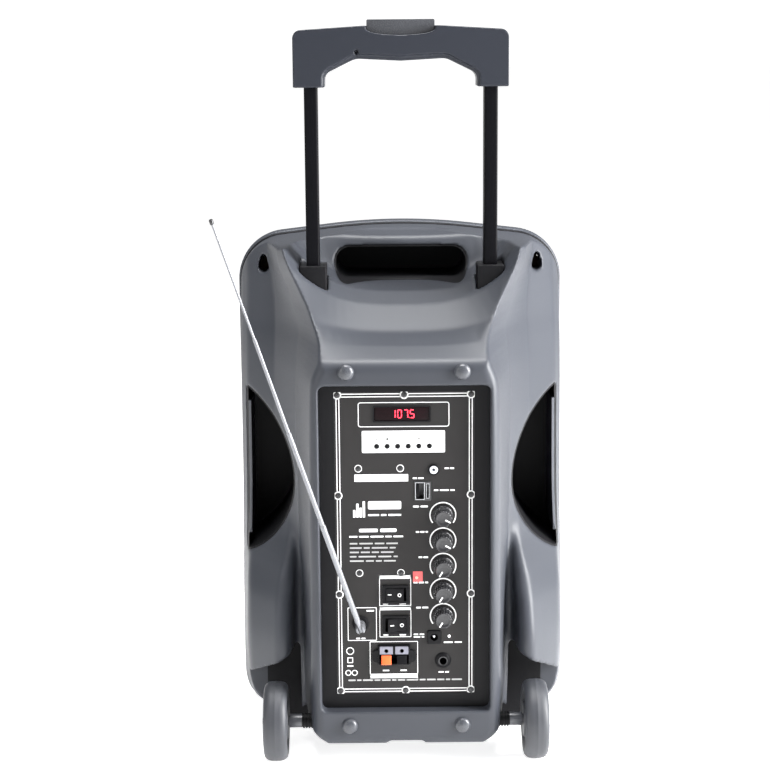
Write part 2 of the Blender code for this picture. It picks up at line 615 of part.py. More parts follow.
# ---------------------------------------------------------------- wheels and feet
def make_wheels():
    """Two wheels on one axle, and the rubber feet and bumpers."""
    inner, outer = WHEEL_X
    for sign, side in ((1, "right"), (-1, "left")):
        rim = WHEEL_RADIUS
        profile = [(AXLE_RADIUS + 0.0004, sign * inner), (0.0150, sign * inner), (0.0170, sign * (inner + 0.003)),
                   (0.0240, sign * (inner + 0.003)), (rim - 0.005, sign * inner), (rim - 0.001, sign * (inner + 0.003)),
                   (rim, sign * (inner + 0.008)), (rim, sign * (outer - 0.008)),
                   (rim - 0.001, sign * (outer - 0.003)), (rim - 0.005, sign * outer),
                   (0.0240, sign * (outer - 0.002)), (AXLE_RADIUS + 0.0004, sign * (outer - 0.002))]
        turned("wheel_" + side, WHEEL_GREY, profile, 28, "X", (0.0, AXLE_Y, WHEEL_RADIUS))
    end = outer + 0.0015
    stub = inner - 0.0006
    axle = [(0.0, end), (AXLE_RADIUS, end), (AXLE_RADIUS, stub), (STUB_RADIUS, stub), (STUB_RADIUS, 0.0920),
            (0.0075, 0.0920), (0.0075, 0.0895), (AXLE_RADIUS, 0.0895)]
    mirrored = [(radius, -along) for radius, along in reversed(axle)]
    turned("wheel_axle", STEEL, axle + mirrored, 12, "X", (0.0, AXLE_Y, WHEEL_RADIUS))
    for number, (x, z) in enumerate(((-0.048, 0.3425), (0.048, 0.3425), (-0.048, 0.0365), (0.048, 0.0365)), 1):
        seat = REAR_Y - GAP
        dome = [(0.0, seat - 0.0045), (0.0035, seat - 0.0040), (0.0062, seat - 0.0022), (0.0068, seat),
                (0.0018, seat), (0.0018, seat + 0.0050), (0.0, seat + 0.0050)]
        turned(f"rear_bumper_{number}", RUBBER, dome, 12, "Y", (x, 0.0, z))
    for x, side in ((-0.105, "left"), (0.105, "right")):
        foot = [(0.0, 0.0150), (0.0023, 0.0150), (0.0023, 0.0078), (0.0105, 0.0078), (0.0120, 0.0), (0.0, 0.0)]
        turned("front_foot_" + side, RUBBER, foot, 12, "Z", (x, 0.100, 0.0))


# ---------------------------------------------------------------- control panel
def make_panel():
    """Panel plate with its openings, and the parts fixed to it."""
    outlines = [box_outline(-PANEL_HALF, PANEL_HALF, *PANEL_Z, 0.004)]
    outlines.append(box_outline(-0.0252, 0.0212, 0.2989, 0.3111, 0.001, 1))
    for i in range(6):
        outlines.append(circle_outline(KEY_X0 + i * KEY_PITCH, KEY_Z, 0.0023, 8))
    outlines.append(circle_outline(0.0244, 0.2573, 0.0042, 12))
    outlines.append(box_outline(0.0080, 0.0225, 0.2305, 0.2475, 0.0005, 1))
    for i in range(5):
        outlines.append(circle_outline(KNOB_X, KNOB_TOP_Z - i * KNOB_PITCH, 0.0042, 10))
    for z in ROCKER_Z:
        outlines.append(box_outline(ROCKER_X - 0.0100, ROCKER_X + 0.0100, z - 0.0070, z + 0.0070, 0.0004, 1))
    outlines.append(circle_outline(*AERIAL, 0.0053, 12))
    outlines.append(box_outline(0.0183, 0.0305, 0.1049, 0.1171, 0.001, 1))
    outlines.append(box_outline(TERMINAL[0] - 0.0140, TERMINAL[0] + 0.0140, TERMINAL[1] - 0.0090,
                                TERMINAL[1] + 0.0090, 0.0004, 1))
    outlines.append(circle_outline(0.0319, 0.0903, 0.0064, 12))
    plate("control_panel", PANEL_PAINT, outlines, "Y", PANEL_Y, PANEL_Y + PANEL_THICK)

    plate("display_window", WINDOW, [box_outline(-0.0249, 0.0209, 0.2992, 0.3108, 0.001, 1)], "Y", PANEL_Y + 0.0004,
          PANEL_Y + 0.0060)
    aux = [(0.0020, PANEL_Y - 0.0012), (0.0048, PANEL_Y - 0.0012), (0.0048, PANEL_Y - GAP), (0.0037, PANEL_Y - GAP),
           (0.0037, PANEL_Y + 0.0120), (0.0, PANEL_Y + 0.0120), (0.0, PANEL_Y + 0.0090), (0.0020, PANEL_Y + 0.0090)]
    jack("aux_jack", BLACK, aux, (0.0244, 0.0, 0.2573))
    reader = plate("usb_card_reader", STEEL, [box_outline(0.0083, 0.0222, 0.2308, 0.2472, 0.0003, 1)], "Y",
                   PANEL_Y - 0.0006, PANEL_Y + 0.0150)
    boolean(reader, block("usb_mouth", STEEL, (0.0093, -0.1, 0.2320), (0.0164, PANEL_Y + 0.012, 0.2460), CUTTERS))
    boolean(reader, block("card_mouth", STEEL, (0.0185, -0.1, 0.2330), (0.0204, PANEL_Y + 0.012, 0.2450), CUTTERS))
    power = plate("power_inlet", BLACK, [box_outline(0.0186, 0.0302, 0.1052, 0.1168, 0.0008, 1)], "Y",
                  PANEL_Y - 0.0015, PANEL_Y + 0.0120)
    boolean(power, rod("power_mouth", BLACK, 0.0032, 12, "Y", -0.1, PANEL_Y + 0.010, (0.0244, 0.1110), CUTTERS))
    mic = [(0.0033, PANEL_Y - 0.0022), (0.0055, PANEL_Y - 0.0022), (0.0070, PANEL_Y - GAP), (0.0057, PANEL_Y - GAP),
           (0.0057, PANEL_Y + 0.0200), (0.0, PANEL_Y + 0.0200), (0.0, PANEL_Y + 0.0170), (0.0033, PANEL_Y + 0.0170)]
    jack("microphone_jack", BLACK, mic, (0.0319, 0.0, 0.0903))
    make_switches()
    make_terminal()
    make_knobs_and_keys()


def jack(name, finish, profile, centre):
    """A turned socket whose bore is open towards the back of the speaker."""
    turned(name, finish, jack_order(profile), 12, "Y", centre)


def jack_order(profile):
    """Start the outline of a socket on its axis."""
    start = [i for i, (radius, _) in enumerate(profile) if radius == 0.0]
    first = start[1]
    return profile[first:] + profile[:first]


def make_switches():
    """Two rocker switches: a frame through the panel and a rocker that tips about a vertical pin."""
    for z, name, tilt in ((ROCKER_Z[0], "upper", -ROCKER_TILT), (ROCKER_Z[1], "lower", ROCKER_TILT)):
        frame = plate("switch_frame_" + name, BLACK, [box_outline(ROCKER_X - 0.0113, ROCKER_X + 0.0113, z - 0.0080,
                                                                  z + 0.0080, 0.001, 1)],
                      "Y", PANEL_Y - 0.0020, PANEL_Y - GAP)
        body = block("switch_body_" + name, BLACK, (ROCKER_X - 0.0097, PANEL_Y - 0.0015, z - 0.0067),
                     (ROCKER_X + 0.0097, PANEL_Y + 0.0150, z + 0.0067), CUTTERS)
        boolean(frame, body, "UNION")
        well = block("switch_well_" + name, BLACK, (ROCKER_X - 0.0090, PANEL_Y - 0.01, z - 0.0060),
                     (ROCKER_X + 0.0090, PANEL_Y + 0.0110, z + 0.0060), CUTTERS)
        boolean(frame, well)
        pivot = (ROCKER_X, PANEL_Y + 0.0040, z)
        top = -0.0070
        outline = [(-0.0076, top), (-0.0076, top + 0.0040), (0.0, 0.0030), (0.0076, top + 0.0040), (0.0076, top),
                   (0.0, top + 0.0010)]
        moved = [(x + pivot[0], y + pivot[1]) for x, y in outline]
        rocker = plate("switch_rocker_" + name, BLACK, [moved], "Z", z - 0.0055, z + 0.0055, origin=pivot)
        rocker.rotation_euler = (0.0, 0.0, math.radians(tilt))


def make_terminal():
    """Push terminal: a dark cup with a grey block, and two levers below it."""
    x, z = TERMINAL
    cup = plate("speaker_terminal", BLACK, [box_outline(x - 0.0185, x + 0.0185, z - 0.0065, z + 0.0045, 0.003, 2)],
                "Y", PANEL_Y - 0.0022, PANEL_Y - GAP)
    body = block("terminal_body", BLACK, (x - 0.0136, PANEL_Y - 0.0030, z - 0.0086),
                 (x + 0.0136, PANEL_Y + 0.0140, z + 0.0086), CUTTERS)
    boolean(cup, body, "UNION")
    well = block("terminal_well", BLACK, (x - 0.0125, PANEL_Y - 0.02, z - 0.0076),
                 (x + 0.0125, PANEL_Y + 0.0110, z + 0.0010), CUTTERS)
    boolean(cup, well)
    for offset, name in ((-0.0066, "red"), (0.0066, "black")):
        hole = rod("wire_hole_" + name, BLACK, 0.0016, 10, "Y", -0.1, PANEL_Y + 0.010, (x + offset, z + 0.0042), CUTTERS)
        boolean(cup, hole)
        hinge = (x + offset, PANEL_Y + 0.0030, z - 0.0010)
        outline = [(0.0, 0.0012), (-0.0075, 0.0012), (-0.0110, -0.0052), (-0.0095, -0.0062), (-0.0040, -0.0025),
                   (0.0, -0.0015)]
        moved = [(y + hinge[1], w + hinge[2]) for y, w in outline]
        finish = RED if name == "red" else BLACK
        plate("terminal_lever_" + name, finish, [moved], "X", hinge[0] - 0.0042, hinge[0] + 0.0042, origin=hinge)


def make_knobs_and_keys():
    """Five rotary knobs and six small keys."""
    for i in range(5):
        z = KNOB_TOP_Z - i * KNOB_PITCH
        face = PANEL_Y - 0.0006
        knob = [(0.0, face - 0.0135), (0.0062, face - 0.0135), (0.0070, face - 0.0128), (0.0078, face - 0.0030),
                (KNOB_RADIUS, face - 0.0024), (KNOB_RADIUS, face), (0.0030, face), (0.0030, face + 0.0120),
                (0.0, face + 0.0120)]
        turned(f"volume_knob_{i + 1}", BLACK, knob, 16, "Y", (KNOB_X, 0.0, z))
    for i in range(6):
        x = KEY_X0 + i * KEY_PITCH
        key = [(0.0, PANEL_Y - 0.0018), (0.0016, PANEL_Y - 0.0018), (0.0019, PANEL_Y - 0.0014),
               (0.0019, PANEL_Y + 0.0060), (0.0, PANEL_Y + 0.0060)]
        turned(f"menu_key_{i + 1}", BLACK, key, 8, "Y", (x, 0.0, KEY_Z))


# ---------------------------------------------------------------- aerial
def make_aerial():
    """Socket on the panel, swivel knuckle, and four sections drawn out of each other."""
    x, z = AERIAL
    socket = [(0.0036, PANEL_Y - 0.0025), (0.0062, PANEL_Y - 0.0025), (0.0072, PANEL_Y - GAP),
              (0.0047, PANEL_Y - GAP), (0.0047, PANEL_Y + 0.0060), (0.0036, PANEL_Y + 0.0060)]
    turned("aerial_socket", BLACK, list(reversed(socket)), 12, "Y", (x, 0.0, z))
    pivot = Vector((x, AERIAL_PIVOT_Y, z))
    swing = Matrix.Rotation(math.radians(-AERIAL_SWING), 4, "Y")
    knuckle = [(0.0, AERIAL_PIVOT_Y - 0.0040), (0.0034, AERIAL_PIVOT_Y - 0.0032), (0.0042, AERIAL_PIVOT_Y + 0.0010),
               (0.0040, PANEL_Y - 0.0028), (0.0032, PANEL_Y - 0.0028), (0.0032, PANEL_Y + 0.0080),
               (0.0, PANEL_Y + 0.0080)]
    base = turned("aerial_swivel", CHROME, knuckle, 12, "Y", (x, 0.0, z))
    base.location = pivot
    base.data.transform(Matrix.Translation((0.0, -AERIAL_PIVOT_Y, 0.0)))
    slot = block("swivel_slot", CHROME, (-0.0017, -0.02, -0.02), (0.0017, 0.0045, 0.02), CUTTERS, origin=(0, 0, 0))
    slot.matrix_world = Matrix.Translation(pivot) @ swing
    boolean(base, slot)
    tilt = Matrix.Translation(pivot) @ swing @ Matrix.Rotation(math.radians(AERIAL_LEAN), 4, "X")
    joins = (0.0105, 0.100, 0.186, 0.270, 0.368)
    radii = (0.0024, 0.00195, 0.0015, 0.00105)
    bores = (0.00205, 0.0016, 0.00115, 0.0)
    overlap = 0.012
    for number in range(1, 5):
        radius = radii[number - 1]
        bore = bores[number - 1]
        start = joins[number - 1] - (overlap if number > 1 else 0.0)
        end = joins[number]
        if bore > 0.0:
            profile = [(bore, start), (bore, end), (radius, end), (radius, start)]
        else:
            profile = [(0.0, start), (radius, start), (radius, end), (0.0017, end + 0.0004),
                       (0.0017, end + 0.0040), (0.0, end + 0.0040)]
        section = place(turned_mesh(profile, 8, "Z", (0.0, 0.0, 0.0)), f"aerial_section_{number}", CHROME)
        section.matrix_world = tilt
        if number == 1:
            neck = rod("aerial_neck", CHROME, radius, 8, "Z", 0.0054, start + 0.001, (0.0, 0.0), CUTTERS)
            tab = block("aerial_tab", CHROME, (-0.0014, -0.0021, -0.0024), (0.0014, 0.0021, 0.0065), CUTTERS,
                        origin=(0, 0, 0))
            neck.matrix_world = tilt
            tab.matrix_world = tilt
            boolean(section, neck, "UNION")
            boolean(section, tab, "UNION")


# ---------------------------------------------------------------- inside
def make_inside():
    """Battery and amplifier board behind the panel."""
    block("battery_pack", GREY, (-0.060, -0.055, 0.026), (0.060, 0.020, 0.092), bevel=0.002)
    block("amplifier_board", BOARD, (-0.048, -0.0560, 0.1000), (0.048, -0.0540, 0.3000))


make_cabinet()
make_liners()
make_front()
make_handle()
make_wheels()
make_panel()
make_aerial()
make_inside()
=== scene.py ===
"""Looks of the party speaker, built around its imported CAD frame.

Metres, +Z up. The control panel faces -Y, the grille faces +Y, the floor is z = 0.
"""
import math

import bmesh
import bpy
from mathutils import Matrix, Vector


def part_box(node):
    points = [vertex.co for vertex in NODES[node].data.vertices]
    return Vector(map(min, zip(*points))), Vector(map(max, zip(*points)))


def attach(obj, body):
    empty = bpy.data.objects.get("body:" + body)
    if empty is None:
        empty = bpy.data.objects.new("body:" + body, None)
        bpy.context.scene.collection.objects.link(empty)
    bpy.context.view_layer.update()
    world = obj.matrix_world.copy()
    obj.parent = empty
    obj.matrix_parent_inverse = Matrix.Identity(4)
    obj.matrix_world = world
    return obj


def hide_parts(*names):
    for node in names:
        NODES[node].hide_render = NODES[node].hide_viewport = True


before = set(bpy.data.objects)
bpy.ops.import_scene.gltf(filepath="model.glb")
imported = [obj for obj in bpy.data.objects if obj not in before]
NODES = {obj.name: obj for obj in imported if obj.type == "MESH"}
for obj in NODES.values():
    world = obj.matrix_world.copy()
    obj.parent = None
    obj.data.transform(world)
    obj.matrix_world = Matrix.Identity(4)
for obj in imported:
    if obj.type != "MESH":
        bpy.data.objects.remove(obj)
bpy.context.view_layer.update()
SCENE = bpy.context.scene

# ---------------------------------------------------------------- dimensions shared with the CAD
HALF_WIDTH = 0.1495
SHELL_HALF = 0.1465
TOP_Z = 0.4445
SHOULDER_Z = 0.433
BOTTOM_Z = 0.01
TOP_RADIUS = 0.045
BOTTOM_RADIUS = 0.03
FRONT_Y = 0.148
SEAM_Y = 0.122
REAR_Y = -0.09
PANEL_Y = -0.078
RECESS_HALF = 0.0715
RECESS_Z = (0.0485, 0.3305)
WOOFER_Z = 0.166
TWEETER_Z = 0.366
WHEEL_RADIUS = 0.034
WHEEL_X = (0.101, 0.122)
AXLE_Y = -0.07
POLE_X = 0.076
POLE_SIZE = (0.0114, 0.02)
POLE_BOTTOM = 0.29
COLLAR_Z = (0.393, 0.421)
GRIP_Z = (0.5713, 0.6215)
GRIP_HALF = 0.0905
GRIP_DEPTH = 0.032
LEG_WIDTH = 0.0265
KNOB_X = 0.032
KNOB_TOP_Z = 0.218
KNOB_PITCH = 0.0221
KNOB_RADIUS = 0.0086
KEY_X0 = -0.0231
KEY_PITCH = 0.0088
KEY_Z = 0.2775
ROCKER_X = -0.0081
ROCKER_Z = (0.1493, 0.1224)
ROCKER_TILT = 8.0
AERIAL = (-0.038, 0.1235)
AERIAL_PIVOT_Y = -0.0935
AERIAL_SWING = 17.8
AERIAL_LEAN = 8.0
TERMINAL = (-0.0098, 0.0958)

PLAN = (
    (0.010, 0.060, (0.1270, 0.048), (0.1020, 0.010), (0.0780, 0.018), 0.0640),
    (0.019, 0.058, (0.1300, 0.030), (0.1030, -0.018), (0.0810, 0.016), 0.0670),
    (0.023, 0.057, (0.1320, 0.020), (0.1030, -0.034), (0.0870, 0.014), 0.0730),
    (0.031, 0.056, (0.1345, 0.008), (0.1025, -0.050), (0.0915, 0.012), 0.0790),
    (0.060, 0.054, (0.1370, -0.016), (0.1015, -0.066), (0.0920, 0.006), 0.0795),
    (0.095, 0.055, (0.1380, -0.022), (0.1010, -0.070), (0.0920, 0.000), 0.0795),
    (0.130, 0.059, (0.1380, -0.010), (0.1005, -0.062), (0.0915, -0.006), 0.0795),
    (0.155, 0.066, (0.1380, 0.012), (0.1000, -0.044), (0.0910, -0.012), 0.0790),
    (0.185, 0.073, (0.1385, 0.034), (0.1010, -0.014), (0.0910, -0.018), 0.0787),
    (0.220, 0.078, (0.1390, 0.050), (0.1070, 0.005), (0.0920, -0.020), 0.0784),
    (0.300, 0.082, (0.1390, 0.058), (0.1130, 0.020), (0.0925, -0.020), 0.0775),
    (0.330, 0.085, (0.1390, 0.064), (0.1130, 0.028), (0.0920, -0.019), 0.0765),
    (0.350, 0.090, (0.1390, 0.070), (0.1125, 0.036), (0.0905, -0.015), 0.0690),
    (0.365, 0.097, (0.1390, 0.078), (0.1125, 0.045), (0.0895, -0.010), 0.0620),
    (0.385, 0.105, (0.1390, 0.086), (0.1130, 0.054), (0.0935, -0.004), 0.0590),
    (0.400, 0.112, (0.1390, 0.092), (0.1150, 0.062), (0.0985, 0.000), 0.0640),
    (0.430, 0.120, (0.1400, 0.104), (0.1200, 0.080), (0.1080, 0.010), 0.0780),
    (0.470, 0.120, (0.1400, 0.104), (0.1200, 0.080), (0.1080, 0.010), 0.0780),
)
PLAN_RADII = (0.040, 0.030, 0.008, 0.005, 0.010)
PLAN_SLICES = 110
SIDE = (
    ((SEAM_Y, 0.4600), 0.0), ((0.1000, 0.4450), 0.020), ((0.0880, 0.4395), 0.010), ((0.0740, 0.4425), 0.008),
    ((0.0560, 0.4390), 0.008), ((0.0400, 0.4035), 0.012), ((0.0000, 0.3975), 0.020),
    ((-0.0200, 0.3880), 0.020),
    ((-0.0420, 0.3680), 0.020), ((-0.0660, 0.3605), 0.020), ((REAR_Y, 0.3490), 0.012),
    ((REAR_Y, 0.0190), 0.006),
    ((-0.0300, 0.0170), 0.020), ((SEAM_Y, 0.0080), 0.0),
)
SCOOP_LIFT = 0.029
SCOOP_SLICES = 40
VOXEL = 0.0015            # grid of the cabinet's remesh, which softens its moulded edges


# ---------------------------------------------------------------- outlines
def rounded(points, radii, steps, closed):
    """Replace the corners of an outline with arcs of a given radius; radius 0 keeps the corner."""
    count = len(points)
    result = []
    for index, point in enumerate(points):
        radius = radii[index]
        here = Vector(point)
        if radius <= 0.0 or (not closed and index in (0, count - 1)):
            result.append(tuple(here))
            continue
        before = Vector(points[index - 1]) - here
        after = Vector(points[(index + 1) % count]) - here
        half = before.angle(after) / 2.0
        reach = min(radius / math.tan(half), 0.46 * before.length, 0.46 * after.length)
        radius = reach * math.tan(half)
        before.normalize()
        after.normalize()
        centre = here + (before + after).normalized() * (radius / math.sin(half))
        start = here + before * reach - centre
        turn = start.angle_signed(here + after * reach - centre)
        for step in range(steps + 1):
            angle = -turn * step / steps
            x = start.x * math.cos(angle) - start.y * math.sin(angle)
            y = start.x * math.sin(angle) + start.y * math.cos(angle)
            result.append((centre.x + x, centre.y + y))
    return result


def box_outline(x0, x1, y0, y1, radius=0.0, steps=6):
    """A rectangle, with round corners if a radius is given."""
    corners = [(x0, y0), (x1, y0), (x1, y1), (x0, y1)]
    return rounded(corners, [radius] * 4, steps, True) if radius > 0.0 else corners


def circle_outline(x, y, radius, count=32):
    """A polygon standing for a circle."""
    return [(x + radius * math.cos(2 * math.pi * i / count), y + radius * math.sin(2 * math.pi * i / count))
            for i in range(count)]


def arc_band(x, y, radius, width, start, end):
    """A ring's part between two angles in degrees, as one closed outline."""
    count = 40
    angles = [math.radians(start + (end - start) * i / count) for i in range(count + 1)]
    outer = [(x + (radius + width / 2) * math.cos(a), y + (radius + width / 2) * math.sin(a)) for a in angles]
    inner = [(x + (radius - width / 2) * math.cos(a), y + (radius - width / 2) * math.sin(a)) for a in angles]
    return outer + inner[::-1]


def stroke(x0, y0, x1, y1, width):
    """A straight line of a given width as an outline."""
    along = Vector((x1 - x0, y1 - y0)).normalized()
    side = Vector((-along.y, along.x)) * width / 2
    return [(x0 + side.x, y0 + side.y), (x0 - side.x, y0 - side.y), (x1 - side.x, y1 - side.y),
            (x1 + side.x, y1 + side.y)]


def frame_outlines(x0, x1, y0, y1, width, radius):
    """Outer and inner outline of a rectangular line."""
    return [box_outline(x0, x1, y0, y1, radius),
            box_outline(x0 + width, x1 - width, y0 + width, y1 - width, max(radius - width, 0.0002))]


def front_outline(inset):
    """The bezel's outline seen from the back: round corners and a slightly arched top."""
    half = HALF_WIDTH - inset
    top = SHOULDER_Z - inset
    crown = TOP_Z - inset
    low = BOTTOM_Z + inset
    corners = [(-half, low), (half, low), (half, top), (0.0, crown + 0.006), (-half, top)]
    radii = [BOTTOM_RADIUS - inset, BOTTOM_RADIUS - inset, TOP_RADIUS - inset, 0.55, TOP_RADIUS - inset]
    return rounded(corners, radii, 16, True)


# ---------------------------------------------------------------- meshes
AXIS_TURN = {
    "Z": Matrix.Identity(4),
    "Y": Matrix(((1, 0, 0, 0), (0, 0, -1, 0), (0, 1, 0, 0), (0, 0, 0, 1))),
    "X": Matrix(((0, 0, 1, 0), (1, 0, 0, 0), (0, 1, 0, 0), (0, 0, 0, 1))),
}


def plate_mesh(outlines, axis, low, high):
    """Flat outlines, nested ones as holes, made thick along an axis."""
    curve = bpy.data.curves.new("outline", "CURVE")
    curve.dimensions = "2D"
    curve.fill_mode = "BOTH"
    curve.extrude = (high - low) / 2.0
    for outline in outlines:
        spline = curve.splines.new("POLY")
        spline.points.add(len(outline) - 1)
        for point, (u, v) in zip(spline.points, outline):
            point.co = (u, v, 0.0, 1.0)
        spline.use_cyclic_u = True
    holder = bpy.data.objects.new("outline", curve)
    SCENE.collection.objects.link(holder)
    bpy.context.view_layer.update()
    graph = bpy.context.evaluated_depsgraph_get()
    mesh = bpy.data.meshes.new_from_object(holder.evaluated_get(graph))
    bpy.data.objects.remove(holder, do_unlink=True)
    work = bmesh.new()
    work.from_mesh(mesh)
    bmesh.ops.remove_doubles(work, verts=work.verts, dist=0.000002)
    bmesh.ops.recalc_face_normals(work, faces=work.faces)
    work.to_mesh(mesh)
    work.free()
    middle = (low + high) / 2.0
    shift = {"X": (middle, 0, 0), "Y": (0, middle, 0), "Z": (0, 0, middle)}[axis]
    mesh.transform(Matrix.Translation(shift) @ AXIS_TURN[axis])
    return mesh


def turned_mesh(profile, sides, axis, centre, closed=False):
    """Turn (radius, along) points round an axis through a point; a closed profile makes a ring."""
    work = bmesh.new()
    rings = []
    for radius, along in profile:
        if radius < 1e-7:
            rings.append([work.verts.new((0.0, 0.0, along))])
            continue
        rings.append([work.verts.new((radius * math.cos(2 * math.pi * i / sides),
                                      radius * math.sin(2 * math.pi * i / sides),
                                      along)) for i in range(sides)])
    pairs = list(zip(rings, rings[1:])) + ([(rings[-1], rings[0])] if closed else [])
    for first, second in pairs:
        for i in range(sides):
            j = (i + 1) % sides
            corners = [first[i % len(first)], first[j % len(first)], second[j % len(second)],
                       second[i % len(second)]]
            unique = list(dict.fromkeys(corners))
            if len(unique) > 2:
                work.faces.new(unique)
    bmesh.ops.recalc_face_normals(work, faces=work.faces)
    mesh = bpy.data.meshes.new("turned")
    work.to_mesh(mesh)
    work.free()
    turn = {"Z": Matrix.Identity(4), "Y": Matrix.Rotation(math.radians(-90), 4, "X"),
            "X": Matrix.Rotation(math.radians(90), 4, "Y")}[axis]
    mesh.transform(Matrix.Translation(centre) @ turn)
    return mesh


def loft_mesh(sections, closed=False):
    """Skin closed sections of equal length."""
    work = bmesh.new()
    rings = [[work.verts.new(point) for point in section] for section in sections]
    pairs = list(zip(rings, rings[1:])) + ([(rings[-1], rings[0])] if closed else [])
    for first, second in pairs:
        count = len(first)
        for i in range(count):
            j = (i + 1) % count
            work.faces.new((first[i], first[j], second[j], second[i]))
    if not closed:
        work.faces.new(rings[0])
        work.faces.new(rings[-1])
    bmesh.ops.recalc_face_normals(work, faces=work.faces)
    mesh = bpy.data.meshes.new("loft")
    work.to_mesh(mesh)
    work.free()
    return mesh


def joined(meshes):
    """Several meshes as one."""
    work = bmesh.new()
    for mesh in meshes:
        work.from_mesh(mesh)
    result = bpy.data.meshes.new("joined")
    work.to_mesh(result)
    work.free()
    return result


def block_mesh(low, high):
    """A box between two corners."""
    work = bmesh.new()
    bmesh.ops.create_cube(work, size=1.0)
    bmesh.ops.scale(work, vec=[high[i] - low[i] for i in range(3)], verts=work.verts)
    bmesh.ops.translate(work, vec=[(high[i] + low[i]) / 2 for i in range(3)], verts=work.verts)
    mesh = bpy.data.meshes.new("block")
    work.to_mesh(mesh)
    work.free()
    return mesh


def rod_mesh(radius, sides, axis, low, high, across):
    """A plain cylinder; across gives the other two coordinates."""
    centre = {"X": (0.0, *across), "Y": (across[0], 0.0, across[1]), "Z": (*across, 0.0)}[axis]
    return turned_mesh([(0.0, low), (radius, low), (radius, high), (0.0, high)], sides, axis, centre)


# ---------------------------------------------------------------- objects
def loose(name, mesh):
    """An object that is only used for making others."""
    thing = bpy.data.objects.new(name, mesh)
    SCENE.collection.objects.link(thing)
    thing.hide_render = True
    return thing


def boolean(thing, cutter, operation="DIFFERENCE"):
    """Cut, join or intersect with another object."""
    cut = thing.modifiers.new("boolean", "BOOLEAN")
    cut.operation = operation
    cut.object = cutter
    cut.solver = "EXACT"


def bevelled(thing, width, segments=3, angle=35):
    """Round the edges sharper than an angle."""
    bevel = thing.modifiers.new("bevel", "BEVEL")
    bevel.width = width
    bevel.segments = segments
    bevel.limit_method = "ANGLE"
    bevel.angle_limit = math.radians(angle)
    bevel.use_clamp_overlap = True


def voxel_softened(thing, voxel, rounds):
    """Rebuild the surface on a grid and smooth it, so that edges turn soft as on a moulding."""
    remesh = thing.modifiers.new("remesh", "REMESH")
    remesh.mode = "VOXEL"
    remesh.voxel_size = voxel
    smooth = thing.modifiers.new("smooth", "SMOOTH")
    smooth.factor = 0.5
    smooth.iterations = rounds


def applied(thing):
    """The object's mesh with its modifiers in it."""
    bpy.context.view_layer.update()
    graph = bpy.context.evaluated_depsgraph_get()
    return bpy.data.meshes.new_from_object(thing.evaluated_get(graph))


def baked(thing, *helpers):
    """Apply the modifiers and remove the objects that they used."""
    mesh = applied(thing)
    thing.modifiers.clear()
    thing.data = mesh
    for helper in helpers:
        bpy.data.objects.remove(helper, do_unlink=True)
    return thing


def taken(thing, *helpers):
    """The finished mesh of an object that is not needed any more."""
    mesh = baked(thing, *helpers).data
    bpy.data.objects.remove(thing, do_unlink=True)
    return mesh


def shown(name, mesh, finish, stands_for=(), sharp=30.0, body="cabinet"):
    """A finished piece: named, shaded, painted and riding on a body."""
    thing = bpy.data.objects.new(name, mesh)
    SCENE.collection.objects.link(thing)
    mesh.materials.clear()
    mesh.materials.append(finish)
    mesh.shade_smooth()
    if sharp is not None:
        mesh.set_sharp_from_angle(angle=math.radians(sharp))
    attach(thing, body)
    if stands_for:
        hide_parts(*stands_for)
    return thing


# ---------------------------------------------------------------- materials
def new_material(name, colour, roughness, metallic=0.0, specular=0.5):
    """A Principled material and its nodes."""
    made = bpy.data.materials.new(name)
    made.use_nodes = True
    tree = made.node_tree
    shader = tree.nodes["Principled BSDF"]
    shader.inputs["Base Color"].default_value = (*colour, 1.0)
    shader.inputs["Roughness"].default_value = roughness
    shader.inputs["Metallic"].default_value = metallic
    shader.inputs["Specular IOR Level"].default_value = specular
    return made, tree, shader


def noise(tree, scale, detail=2.0, stretch=(1.0, 1.0, 1.0)):
    """A noise texture in metres of the object."""
    place = tree.nodes.new("ShaderNodeTexCoord")
    mapping = tree.nodes.new("ShaderNodeMapping")
    mapping.inputs["Scale"].default_value = stretch
    texture = tree.nodes.new("ShaderNodeTexNoise")
    texture.inputs["Scale"].default_value = scale
    texture.inputs["Detail"].default_value = detail
    tree.links.new(place.outputs["Object"], mapping.inputs["Vector"])
    tree.links.new(mapping.outputs["Vector"], texture.inputs["Vector"])
    return texture


def ranged(tree, source, low, high):
    """Spread a 0.3 to 0.7 signal over a range."""
    ramp = tree.nodes.new("ShaderNodeMapRange")
    ramp.inputs["From Min"].default_value = 0.3
    ramp.inputs["From Max"].default_value = 0.7
    ramp.inputs["To Min"].default_value = low
    ramp.inputs["To Max"].default_value = high
    tree.links.new(source, ramp.inputs["Value"])
    return ramp.outputs["Result"]


